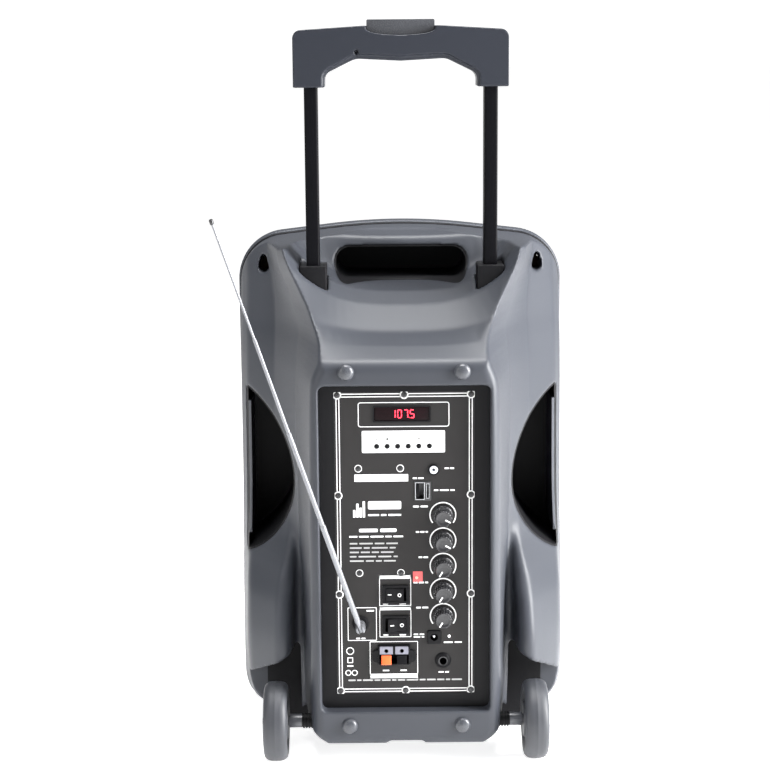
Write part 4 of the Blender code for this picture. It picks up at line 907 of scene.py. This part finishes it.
def make_print():
    """White border lines, frames, label and the small marks round the controls."""
    screws = [(x, z) for z in (0.3213, 0.0636) for x in (-0.0557, 0.0, 0.0557)]
    screws += [(x, z) for z in (0.2355, 0.1493) for x in (-0.0557, 0.0557)]
    border = []
    for reach, width in ((0.0569, 0.00075), (0.0545, 0.00075)):
        off = reach - 0.0557
        border.append(frame_outlines(-reach, reach, 0.0636 - off, 0.3213 + off, width, 0.0006))
    border += [ring(x, z, 0.0031, 0.001) for x, z in screws]
    printed("print_border", border)
    # A near-black band round the panel's edge, darker than the panel, where it meets the recess walls.
    dark_band = [box_outline(-0.0714, 0.0714, RECESS_Z[0] + 0.0001, RECESS_Z[1] - 0.0001, 0.0048),
            box_outline(-0.0586, 0.0586, 0.061, 0.3239, 0.001)]
    shown("panel_edge_dark_band", plate_mesh(dark_band, "Y", PANEL_Y - 0.0005, PANEL_Y - 0.0001), NEAR_BLACK_AND_SHADE)

    frames = [frame_outlines(-0.0385, 0.0375, 0.294, 0.315, 0.0006, 0.0022),
              frame_outlines(-0.022, 0.005, 0.1388, 0.1662, 0.0006, 0.0006),
              [box_outline(-0.022, 0.005, 0.1628, 0.1662)],
              frame_outlines(-0.022, 0.005, 0.1112, 0.1382, 0.0006, 0.0006),
              [box_outline(-0.022, 0.005, 0.1352, 0.1382)],
              frame_outlines(-0.049, -0.0243, 0.1083, 0.1378, 0.0006, 0.0008),
              frame_outlines(-0.0305, 0.0106, 0.0741, 0.1075, 0.0006, 0.0008),
              [box_outline(-0.0305, 0.0106, 0.0741, 0.0786)],
              [box_outline(-0.042, 0.003, 0.2474, 0.2536, 0.0004)]]
    printed("print_frames", frames)
    keys = [circle_outline(KEY_X0 + i * KEY_PITCH, KEY_Z, 0.0022, 24) for i in range(6)]
    label = [[box_outline(-0.0354, 0.0339, 0.272, 0.2908, 0.001), *keys]]
    printed("key_label", label)
    symbols = []
    for i in range(6):
        x = KEY_X0 + i * KEY_PITCH
        z = 0.2838
        if i == 1:
            symbols.append([circle_outline(x, z, 0.0009, 16)])
        elif i in (3, 5):
            symbols += [[[(x - 0.0016, z - 0.0006), (x - 0.0003, z), (x - 0.0016, z + 0.0006)]],
                        [[(x, z - 0.0006), (x + 0.0013, z), (x, z + 0.0006)]]]
        else:
            symbols.append([box_outline(x - 0.0011, x + 0.0011, z - 0.0004, z + 0.0004)])
    printed("key_symbols", symbols, NEAR_BLACK_AND_SHADE, low=INK_LOW - 0.00006, high=INK_LOW + 0.0001)

    arcs = []
    marks = []
    for i in range(5):
        z = KNOB_TOP_Z - i * KNOB_PITCH
        arcs.append([arc_band(KNOB_X, z, 0.01085, 0.001, -38, 218)])
        marks += dashes(0.007 + 0.0022 * (i % 3), 0.0195, z + 0.0076, 0.0015,
                        (4, 1, 5, 1, 3)[:3 + 2 * (i % 2)])
    arcs += [ring(x, z, 0.0029, 0.0006) for x, z in ((-0.0387, 0.2586), (-0.0036, 0.2586), (-0.0385, 0.168),
                                                     (-0.0035, 0.168))]
    printed("print_rings", arcs)
    marks += dashes(0.0068, 0.016, 0.25, 0.0013, (4, 1, 5))
    marks += dashes(0.0335, 0.0415, 0.2583, 0.0013, (4, 1, 4))
    marks += dashes(0.0245, 0.042, 0.2395, 0.0013, (3, 1, 6, 1, 3))
    marks += dashes(-0.0188, -0.0145, 0.1408, 0.0012, (1,))
    marks += dashes(-0.005, 0.0005, 0.1408, 0.0012, (1,))
    marks += dashes(-0.0188, -0.0145, 0.1132, 0.0012, (1,))
    marks += dashes(-0.005, 0.0005, 0.1132, 0.0012, (1,))
    marks += dashes(-0.033, -0.0265, 0.1348, 0.0013, (1,))
    marks += dashes(-0.042, -0.034, 0.1103, 0.0012, (3, 1, 3))
    marks += dashes(0.007, 0.016, 0.1135, 0.0012, (3, 1, 3))
    marks += dashes(0.007, 0.016, 0.1112, 0.0012, (5, 1, 2))
    marks += dashes(0.0325, 0.048, 0.1062, 0.0012, (5, 1, 4))
    marks += dashes(0.028, 0.037, 0.0797, 0.0013, (4, 1, 3))
    marks += dashes(-0.0195, -0.014, 0.0815, 0.0012, (1,))
    marks += dashes(-0.0045, 0.001, 0.0815, 0.0012, (1,))
    printed("print_marks", marks)

    blocks = []
    for x, height in ((-0.0424, 0.0065), (-0.0397, 0.012), (-0.037, 0.0085), (-0.0343, 0.014)):
        blocks.append([box_outline(x - 0.001, x + 0.001, 0.2165, 0.2165 + height, 0.0004)])
    blocks += [[box_outline(-0.0308, -0.003, 0.2235, 0.2305, 0.0012)]]
    blocks += dashes(-0.0308, -0.003, 0.2185, 0.0016, (6, 1, 3, 1, 7))
    blocks += dashes(-0.0385, -0.007, 0.2052, 0.003, (8, 1, 7))
    blocks += dashes(-0.0468, -0.0015, 0.1998, 0.0014, (5, 1, 6, 1, 8, 1, 4, 1, 6))
    printed("generic_mark", blocks)
    rows = []
    patterns = ((4, 1, 7, 1, 5, 1, 6), (6, 1, 3, 1, 8, 1, 3), (5, 1, 5, 1, 4, 1, 7), (3, 1, 8, 1, 6, 1, 2),
                (7, 1, 4, 1, 3, 1, 6))
    for index, pattern in enumerate(patterns):
        rows += dashes(-0.0465, -0.006 - 0.0018 * (index % 3), 0.1938 - index * 0.0038, 0.0013, pattern)
    rows += dashes(-0.049, 0.048, 0.073, 0.0014,
                   (5, 1, 3, 1, 7, 1, 4, 1, 6, 1, 3, 1, 5, 1, 8, 1, 4, 1, 6, 1, 5, 1, 3, 1, 7))
    printed("small_print", rows, FAINT)
    x = -0.0472
    shapes = [ring(x, 0.0992, 0.003, 0.0007),
              frame_outlines(x - 0.0024, x + 0.0024, 0.0885, 0.0935, 0.0007, 0.0004),
              [box_outline(x - 0.0026, x + 0.0026, 0.0852, 0.0864)],
              ring(x - 0.0017, 0.0797, 0.0022, 0.0007), ring(x + 0.0037, 0.0797, 0.0022, 0.0007)]
    printed("side_symbols", shapes)

    for number, (x, z) in enumerate(screws + [(-0.0387, 0.2586), (-0.0036, 0.2586), (-0.0385, 0.168),
                                              (-0.0035, 0.168)], 1):
        make_screw(number, x, z, 0.0025 if number <= len(screws) else 0.0022)


def make_screw(number, x, z, radius):
    """A dark round-head screw with a cross in it."""
    head = [(0.0, PANEL_Y - 0.0013), (radius * 0.5, PANEL_Y - 0.00125), (radius * 0.85, PANEL_Y - 0.0009),
            (radius, PANEL_Y - 0.0003), (radius, PANEL_Y + 0.0005), (0.0, PANEL_Y + 0.0005)]
    screw = loose("screw", turned_mesh(head, 24, "Y", (x, 0.0, z)))
    turn = math.radians(17.0 * number)
    arms = []
    for angle in (turn, turn + math.pi / 2):
        dx = math.cos(angle) * radius * 0.62
        dz = math.sin(angle) * radius * 0.62
        arm = loose("arm", plate_mesh([stroke(x - dx, z - dz, x + dx, z + dz, radius * 0.26)], "Y",
                                      PANEL_Y - 0.002,
                                      PANEL_Y - 0.0004))
        boolean(screw, arm)
        arms.append(arm)
    shown(f"panel_screw_{number}", taken(screw, *arms), DARK_STEEL)


SEGMENTS = {"a": (0, 2), "b": (1, 1), "c": (1, -1), "d": (0, -2), "e": (-1, -1), "f": (-1, 1), "g": (0, 0)}
DIGITS = {"1": "bc", "0": "abcdef", "5": "acdfg", "7": "abc"}


def make_display():
    """Glossy window with four lit generic digits behind it."""
    low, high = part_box("display_window")
    window = loose("window", plate_mesh([box_outline(low.x, high.x, low.z, high.z, 0.0008)], "Y", low.y,
                                        high.y))
    bevelled(window, 0.0003, 2, 40)
    shown("display_window_fine", taken(window), WINDOW, ("display_window",))
    shapes = []
    half_w, half_h = 0.00155, 0.00165
    for index, digit in enumerate("1075"):
        centre_x = -0.009 + index * 0.0052
        for name in DIGITS[digit]:
            side, level = SEGMENTS[name]
            x = centre_x + side * half_w
            z = 0.305 + level * half_h
            if side:
                shapes.append([stroke(x - 0.0001, z - half_h * 0.82, x + 0.0001, z + half_h * 0.82, 0.00062)])
            else:
                shapes.append([stroke(centre_x - half_w * 0.75, z, centre_x + half_w * 0.75, z, 0.00062)])
    shapes.append([box_outline(0.0037, 0.0043, 0.3016, 0.3022)])
    printed("display_digits", shapes, GLOW, low=low.y - 0.00012, high=low.y + 0.0001)
    printed("display_bezel", [[box_outline(low.x - 0.0012, high.x + 0.0012, low.z - 0.0012, high.z + 0.0012,
                                           0.001),
                               box_outline(low.x, high.x, low.z, high.z, 0.0006)]], NEAR_BLACK_AND_SHADE,
                               low=PANEL_Y - 0.0006)


def make_knobs():
    """Fluted knobs with a white pointer."""
    for i in range(5):
        z = KNOB_TOP_Z - i * KNOB_PITCH
        face = PANEL_Y - 0.0006
        ribs = 18
        fine = ribs * 6
        sections = []
        for depth, radius, flute in ((0.0, 0.0084, 0.0), (0.0004, KNOB_RADIUS, 0.0),
                                     (0.002, KNOB_RADIUS, 0.0),
                                     (0.0026, 0.0082, 0.0), (0.0028, 0.0079, 0.4), (0.0034, 0.0078, 1.0),
                                     (0.0118, 0.0073, 1.0), (0.0128, 0.007, 0.8), (0.0134, 0.0064, 0.2),
                                     (0.0135, 0.0058, 0.0), (0.0131, 0.005, 0.0), (0.0129, 0.003, 0.0)):
            ring_points = []
            for step in range(fine):
                angle = 2 * math.pi * step / fine
                dent = 0.00055 * flute * (0.5 + 0.5 * math.cos(angle * ribs)) ** 2
                reach = radius - dent
                ring_points.append((KNOB_X + reach * math.cos(angle), face - depth,
                                    z + reach * math.sin(angle)))
            sections.append(ring_points)
        knob = loft_mesh(sections)
        shaft = rod_mesh(0.003, 24, "Y", face - 0.0005, face + 0.012, (KNOB_X, z))
        shown(f"volume_knob_fine_{i + 1}", joined([knob, shaft]), KNOB,
              (f"volume_knob_{i + 1}",), sharp=40.0, body=f"knob_{i + 1}")
        angle = math.radians(-28 if i < 2 else -122)
        dx, dz = math.cos(angle), math.sin(angle)
        line = plate_mesh([stroke(KNOB_X + dx * 0.0018, z + dz * 0.0018, KNOB_X + dx * 0.0066,
                                  z + dz * 0.0066,
                                  0.001)], "Y", face - 0.0137, face - 0.0126)
        shown(f"knob_pointer_{i + 1}", line, INK, body=f"knob_{i + 1}")
    for i in range(6):
        x = KEY_X0 + i * KEY_PITCH
        key = [(0.0, PANEL_Y - 0.0018), (0.001, PANEL_Y - 0.00175), (0.0015, PANEL_Y - 0.0016),
               (0.0019, PANEL_Y - 0.0011), (0.0019, PANEL_Y + 0.006), (0.0, PANEL_Y + 0.006)]
        shown(f"menu_key_fine_{i + 1}", turned_mesh(key, 28, "Y", (x, 0.0, KEY_Z)), BLACK,
              (f"menu_key_{i + 1}",), sharp=50.0, body=f"key_{i + 1}")


def make_sockets():
    """Round sockets with their nuts, the power inlet, the card reader and the lamps."""
    aux = [(0.002, PANEL_Y - 0.0012), (0.0026, PANEL_Y - 0.0016), (0.0042, PANEL_Y - 0.0016),
           (0.0048, PANEL_Y - 0.001), (0.0048, PANEL_Y - 0.0003), (0.0037, PANEL_Y - 0.0003),
           (0.0037, PANEL_Y + 0.012), (0.0005, PANEL_Y + 0.012), (0.0005, PANEL_Y + 0.009),
           (0.002, PANEL_Y + 0.009)]
    shown("aux_jack_fine", turned_mesh(aux, 36, "Y", (0.0244, 0.0, 0.2573), True), BLACK,
          ("aux_jack",), sharp=40.0)
    liner = [(0.0014, PANEL_Y - 0.0017), (0.0032, PANEL_Y - 0.002), (0.0034, PANEL_Y - 0.0016),
             (0.0034, PANEL_Y - 0.0012), (0.0014, PANEL_Y + 0.006)]
    shown("aux_nut", turned_mesh(liner, 32, "Y", (0.0244, 0.0, 0.2573), True), LAMP, sharp=40.0)
    centre = (0.0319, 0.0, 0.0903)
    mic = [(0.0033, PANEL_Y - 0.0022), (0.0038, PANEL_Y - 0.0026), (0.005, PANEL_Y - 0.0024),
           (0.0062, PANEL_Y - 0.0014), (0.007, PANEL_Y - 0.0003), (0.0057, PANEL_Y - 0.0003),
           (0.0057, PANEL_Y + 0.02), (0.0005, PANEL_Y + 0.02), (0.0005, PANEL_Y + 0.017),
           (0.0033, PANEL_Y + 0.017)]
    shown("microphone_jack_fine", turned_mesh(mic, 6 * 8, "Y", centre, True), BLACK,
          ("microphone_jack",), sharp=40.0)
    lip = [(0.0032, PANEL_Y - 0.0027), (0.0039, PANEL_Y - 0.0029), (0.0039, PANEL_Y - 0.0023),
           (0.0032, PANEL_Y - 0.001)]
    shown("microphone_lip", turned_mesh(lip, 48, "Y", centre, True), DARK_STEEL, sharp=40.0)

    low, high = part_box("power_inlet")
    inlet = loose("inlet", plate_mesh([box_outline(low.x, high.x, low.z, high.z, 0.001)], "Y", low.y, high.y))
    bevelled(inlet, 0.0004, 2, 40)
    baked(inlet)
    mouth = loose("mouth", rod_mesh(0.0032, 32, "Y", -0.1, PANEL_Y + 0.01, (0.0244, 0.111)))
    boolean(inlet, mouth)
    baked(inlet, mouth)
    pin = rod_mesh(0.001, 20, "Y", PANEL_Y + 0.001, PANEL_Y + 0.0101, (0.0244, 0.111))
    shown("power_inlet_fine", inlet.data, BLACK, ("power_inlet",))
    shown("power_inlet_pin", pin, STEEL)
    bpy.data.objects.remove(inlet, do_unlink=True)

    low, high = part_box("usb_card_reader")
    shell = loose("shell", plate_mesh([box_outline(low.x, high.x, low.z, high.z, 0.0005)], "Y", low.y,
                                      high.y))
    usb = loose("usb", block_mesh((0.0093, -0.1, 0.232), (0.0164, PANEL_Y + 0.012, 0.246)))
    card = loose("card", block_mesh((0.0185, -0.1, 0.233), (0.0204, PANEL_Y + 0.012, 0.245)))
    boolean(shell, usb)
    boolean(shell, card)
    bevelled(shell, 0.0002, 2, 40)
    baked(shell, usb, card)
    shown("usb_card_reader_fine", shell.data, DARK_STEEL, ("usb_card_reader",))
    rim = frame_outlines(0.0089, 0.0168, 0.2316, 0.2464, 0.0004, 0.0004)
    slot = frame_outlines(0.0182, 0.0207, 0.2326, 0.2454, 0.0003, 0.0003)
    for name, outline in (("usb_rim", rim), ("card_slot_rim", slot)):
        shown(name, plate_mesh(outline, "Y", low.y - 0.0002, low.y + 0.0004), STEEL)
    bpy.data.objects.remove(shell, do_unlink=True)
    tongue = loose("tongue", block_mesh((0.0099, PANEL_Y + 0.0006, 0.2332),
                                        (0.0123, PANEL_Y + 0.0119, 0.2448)))
    bevelled(tongue, 0.0003, 2, 40)
    shown("usb_tongue", taken(tongue), NEAR_BLACK_AND_SHADE)

    lamp = [(0.0, PANEL_Y - 0.0012), (0.0008, PANEL_Y - 0.001), (0.0013, PANEL_Y - 0.0004),
            (0.0014, PANEL_Y + 0.0003), (0.0, PANEL_Y + 0.0003)]
    shown("charge_lamp", turned_mesh(lamp, 24, "Y", (0.0098, 0.0, 0.1636)), LED, sharp=50.0)
    printed("charge_lamp_mark", [[box_outline(0.0066, 0.0148, 0.1592, 0.169, 0.0006)]], RED_PRINT,
            high=PANEL_Y + 0.0002)
    small = [(radius * 0.9, along) for radius, along in lamp]
    shown("power_lamp", turned_mesh(small, 24, "Y", (0.0372, 0.0, 0.1116)), LED_WHITE, sharp=50.0)


def make_switches():
    """Rocker switches with a dash and a ring on the rocker."""
    for z, name, tilt in ((ROCKER_Z[0], "upper", -ROCKER_TILT), (ROCKER_Z[1], "lower", ROCKER_TILT)):
        frame_box = loose("frame", plate_mesh([box_outline(ROCKER_X - 0.0113, ROCKER_X + 0.0113, z - 0.008,
                                                           z + 0.008, 0.0012)], "Y", PANEL_Y - 0.002,
                                              PANEL_Y - 0.0003))
        bevelled(frame_box, 0.0006, 3, 40)
        baked(frame_box)
        body = loose("body", block_mesh((ROCKER_X - 0.0097, PANEL_Y - 0.0015, z - 0.0067),
                                        (ROCKER_X + 0.0097, PANEL_Y + 0.015, z + 0.0067)))
        well = loose("well", block_mesh((ROCKER_X - 0.009, PANEL_Y - 0.01, z - 0.006),
                                        (ROCKER_X + 0.009, PANEL_Y + 0.011, z + 0.006)))
        boolean(frame_box, body, "UNION")
        boolean(frame_box, well)
        shown("switch_frame_fine_" + name, taken(frame_box, body, well), BLACK,
              ("switch_frame_" + name,))
        pivot = Matrix.Translation((ROCKER_X, PANEL_Y + 0.004, z)) @ Matrix.Rotation(math.radians(tilt), 4,
                                                                                     "Z")
        top = -0.007
        curve = [(0.0076 * (1 - s / 8), top + 0.001 * (s / 8) ** 1.5) for s in range(9)]
        outline = [(-0.0076, top + 0.004), (0.0, 0.003), (0.0076, top + 0.004), *curve]
        outline += [(-x, y) for x, y in reversed(curve[:-1])]
        rocker = loose("rocker", plate_mesh([outline], "Z", -0.0055, 0.0055))
        bevelled(rocker, 0.0004, 3, 50)
        baked(rocker)
        rocker.data.transform(pivot)
        shown("switch_rocker_fine_" + name, taken(rocker), BLACK,
              ("switch_rocker_" + name,), body="rocker_" + name)
        dash = plate_mesh([stroke(-0.0058, 0.0, -0.0026, 0.0, 0.0007)], "Y", top - 0.0001, top + 0.0006)
        circle = plate_mesh(ring(0.0042, 0.0, 0.0013, 0.0006, 28), "Y", top - 0.0001, top + 0.0006)
        marks = joined([dash, circle])
        marks.transform(pivot)
        shown("switch_marks_" + name, marks, INK, body="rocker_" + name)


def make_terminal():
    """Push terminal: dark cup with screw ears, grey block with two wire holes, and two levers."""
    x, z = TERMINAL
    cup = loose("cup", plate_mesh([box_outline(x - 0.0185, x + 0.0185, z - 0.0065, z + 0.0045, 0.0035)], "Y",
                                  PANEL_Y - 0.0022, PANEL_Y - 0.0003))
    bevelled(cup, 0.0006, 3, 40)
    baked(cup)
    body = loose("body", block_mesh((x - 0.0136, PANEL_Y - 0.003, z - 0.0086),
                                    (x + 0.0136, PANEL_Y + 0.014, z + 0.0086)))
    bevelled(body, 0.0005, 2, 40)
    well = loose("well", block_mesh((x - 0.0125, PANEL_Y - 0.02, z - 0.0076),
                                    (x + 0.0125, PANEL_Y + 0.011, z + 0.001)))
    boolean(cup, body, "UNION")
    boolean(cup, well)
    holes = []
    for offset in (-0.0066, 0.0066):
        hole = loose("hole", rod_mesh(0.0016, 24, "Y", -0.1, PANEL_Y + 0.01, (x + offset, z + 0.0042)))
        boolean(cup, hole)
        holes.append(hole)
    shown("speaker_terminal_fine", taken(cup, body, well, *holes), BLACK,
          ("speaker_terminal",))
    plates = []
    for offset in (-0.0066, 0.0066):
        plates.append([box_outline(x + offset - 0.0056, x + offset + 0.0056, z + 0.0012, z + 0.008, 0.0006),
                       circle_outline(x + offset, z + 0.0042, 0.0017, 24)])
    printed("terminal_face", plates, GREY, low=PANEL_Y - 0.0036, high=PANEL_Y - 0.0028)
    for side in (-1, 1):
        make_screw(20 + side, x + side * 0.016, z - 0.001, 0.0014)
    for offset, name, finish in ((-0.0066, "red", RED), (0.0066, "black", BLACK)):
        hinge = (x + offset, PANEL_Y + 0.003, z - 0.001)
        outline = rounded([(0.0, 0.0012), (-0.0075, 0.0012), (-0.011, -0.0052), (-0.0095, -0.0062),
                           (-0.004, -0.0025), (0.0, -0.0015)], [0.0, 0.0015, 0.0006, 0.0006, 0.001, 0.0], 5,
                           True)
        lever = loose("lever", plate_mesh([[(y + hinge[1], w + hinge[2]) for y, w in outline]], "X",
                                          hinge[0] - 0.0042, hinge[0] + 0.0042))
        bevelled(lever, 0.0004, 3, 45)
        shown("terminal_lever_fine_" + name, taken(lever), finish,
              ("terminal_lever_" + name,), body="lever_" + name)


# ---------------------------------------------------------------- aerial
def make_aerial():
    """Socket, swivel and four polished sections with a dark tip."""
    x, z = AERIAL
    socket = [(0.0036, PANEL_Y - 0.0025), (0.0044, PANEL_Y - 0.0029), (0.006, PANEL_Y - 0.0026),
              (0.007, PANEL_Y - 0.0012), (0.0072, PANEL_Y - 0.0003), (0.0047, PANEL_Y - 0.0003),
              (0.0047, PANEL_Y + 0.006), (0.0036, PANEL_Y + 0.006)]
    shown("aerial_socket_fine", turned_mesh(socket, 40, "Y", (x, 0.0, z), True), BLACK,
          ("aerial_socket",), sharp=40.0)
    pivot = Vector((x, AERIAL_PIVOT_Y, z))
    swing = Matrix.Rotation(math.radians(-AERIAL_SWING), 4, "Y")
    knuckle = [(0.0, -0.004), (0.0022, -0.0038), (0.0034, -0.003), (0.0041, -0.0008), (0.0042, 0.0012),
               (0.0041, 0.011), (0.004, PANEL_Y - 0.003 - AERIAL_PIVOT_Y), (0.0032, 0.0127), (0.0032, 0.023),
               (0.0, 0.023)]
    swivel = loose("swivel", turned_mesh(knuckle, 40, "Y", (0.0, 0.0, 0.0)))
    slot = loose("slot", block_mesh((-0.0017, -0.02, -0.02), (0.0017, 0.0045, 0.02)))
    boolean(swivel, slot)
    baked(swivel, slot)
    swivel.data.transform(Matrix.Translation(pivot) @ swing)
    shown("aerial_swivel_fine", taken(swivel), CHROME, ("aerial_swivel",), body="aerial_base")
    tilt = Matrix.Translation(pivot) @ swing @ Matrix.Rotation(math.radians(AERIAL_LEAN), 4, "X")
    joins = (0.0105, 0.1, 0.186, 0.27, 0.368)
    radii = (0.0024, 0.00195, 0.0015, 0.00105)
    bores = (0.00205, 0.0016, 0.00115, 0.0)
    for number in range(1, 5):
        radius, bore = radii[number - 1], bores[number - 1]
        start = joins[number - 1] - (0.012 if number > 1 else 0.0)
        end = joins[number]
        if bore > 0.0:
            profile = [(bore, start), (bore, end), (radius - 0.0003, end), (radius - 0.00005, end - 0.0004),
                       (radius, end - 0.001), (radius, start)]
            mesh = turned_mesh(profile, 28, "Z", (0.0, 0.0, 0.0), True)
        else:
            mesh = turned_mesh([(0.0, start), (radius, start), (radius, end), (0.0, end)], 28, "Z",
                               (0.0, 0.0, 0.0))
        if number == 1:
            section = loose("section", mesh)
            neck = loose("neck", turned_mesh([(0.0, 0.0054), (0.0021, 0.0054), (radius, 0.0066),
                                              (radius, start + 0.001),
                                              (0.0, start + 0.001)], 28, "Z", (0.0, 0.0, 0.0)))
            tab = loose("tab", block_mesh((-0.0014, -0.0021, -0.0024), (0.0014, 0.0021, 0.0065)))
            bevelled(tab, 0.0006, 3, 40)
            boolean(section, neck, "UNION")
            boolean(section, tab, "UNION")
            baked(section, neck, tab)
            mesh = section.data
            bpy.data.objects.remove(section, do_unlink=True)
        mesh.transform(tilt)
        shown(f"aerial_section_fine_{number}", mesh, CHROME, (f"aerial_section_{number}",),
              sharp=35.0, body=f"aerial_{number}")
    tip = [(0.0, 0.3678), (0.0014, 0.3678), (0.0017, 0.3684), (0.0017, 0.3714), (0.0012, 0.3722),
           (0.0, 0.3724)]
    mesh = turned_mesh(tip, 28, "Z", (0.0, 0.0, 0.0))
    mesh.transform(tilt)
    shown("aerial_tip", mesh, DARK_STEEL, sharp=35.0, body="aerial_4")


# ---------------------------------------------------------------- light, floor, camera
FLOOR_GLOW = 0.8         # the floor lights itself this much, so it stays white out to the horizon
SKY = 0.25                # brightness of the surround overhead


def area_light(name, place, target, size, power):
    """A soft square lamp aimed at a point."""
    lamp = bpy.data.lights.new(name, "AREA")
    lamp.shape = "RECTANGLE"
    lamp.size, lamp.size_y = size
    lamp.energy = power
    thing = bpy.data.objects.new(name, lamp)
    SCENE.collection.objects.link(thing)
    thing.location = place
    thing.rotation_euler = (Vector(target) - Vector(place)).to_track_quat("-Z", "Y").to_euler()


def make_studio():
    """Pale floor, soft lamps and an even pale surround."""
    work = bmesh.new()
    bmesh.ops.create_grid(work, x_segments=2, y_segments=2, size=40.0)
    mesh = bpy.data.meshes.new("floor")
    work.to_mesh(mesh)
    work.free()
    floor = bpy.data.objects.new("floor", mesh)
    SCENE.collection.objects.link(floor)
    paint = plastic("floor_paint", (0.82, 0.82, 0.82), 0.7, 60.0, 0.00005, 0.004, specular=0.2)
    shader = next(node for node in paint.node_tree.nodes if node.type == "BSDF_PRINCIPLED")
    shader.inputs["Emission Color"].default_value = (1.0, 1.0, 1.0, 1.0)
    shader.inputs["Emission Strength"].default_value = FLOOR_GLOW
    mesh.materials.append(paint)
    world = bpy.data.worlds.new("surround")
    world.use_nodes = True
    tree = world.node_tree
    direction = tree.nodes.new("ShaderNodeTexCoord")
    parts = tree.nodes.new("ShaderNodeSeparateXYZ")
    tree.links.new(direction.outputs["Generated"], parts.inputs[0])
    strength = tree.nodes.new("ShaderNodeMapRange")
    for socket, value in (("From Min", 0.03), ("From Max", 0.09), ("To Min", 1.1), ("To Max", SKY)):
        strength.inputs[socket].default_value = value
    tree.links.new(parts.outputs["Z"], strength.inputs["Value"])
    background = tree.nodes["Background"]
    background.inputs["Color"].default_value = (1.0, 1.0, 1.0, 1.0)
    tree.links.new(strength.outputs["Result"], background.inputs["Strength"])
    SCENE.world = world
    middle = (0.0, 0.0, 0.28)
    area_light("right_softbox", (1.35, -0.4, 0.75), middle, (0.6, 1.3), 105.0)
    area_light("left_softbox", (-1.3, -1.0, 0.8), middle, (0.5, 1.2), 10.0)
    area_light("top_softbox", (0.0, 0.0, 1.75), middle, (0.9, 0.6), 46.0)
    SCENE.view_settings.view_transform = "Standard"


def make_camera():
    """Long lens, a little above the middle of the speaker, level with the grip."""
    camera = bpy.data.cameras.new("camera")
    camera.lens = 84.5
    camera.sensor_width = 36.0
    thing = bpy.data.objects.new("camera", camera)
    SCENE.collection.objects.link(thing)
    pitch, yaw, roll = math.radians(10.8), math.radians(0.4), math.radians(0.45)
    turn = Matrix.Rotation(-yaw, 4, "Z") @ Matrix.Rotation(math.pi / 2 - pitch, 4, "X")
    thing.matrix_world = Matrix.Translation((-0.026, -1.548, 0.61)) @ turn @ Matrix.Rotation(-roll, 4, "Z")
    SCENE.camera = thing


make_cabinet()
make_front()
make_handle()
make_wheels()
make_print()
make_display()
make_knobs()
make_sockets()
make_switches()
make_terminal()
make_aerial()
for node, finish in (("control_panel", PANEL), ("baffle_board", WOOD), ("woofer_magnet", STEEL),
                     ("battery_pack", GRIP), ("amplifier_board", BOARD)):
    NODES[node].data.materials.clear()
    NODES[node].data.materials.append(finish)
make_studio()
make_camera()
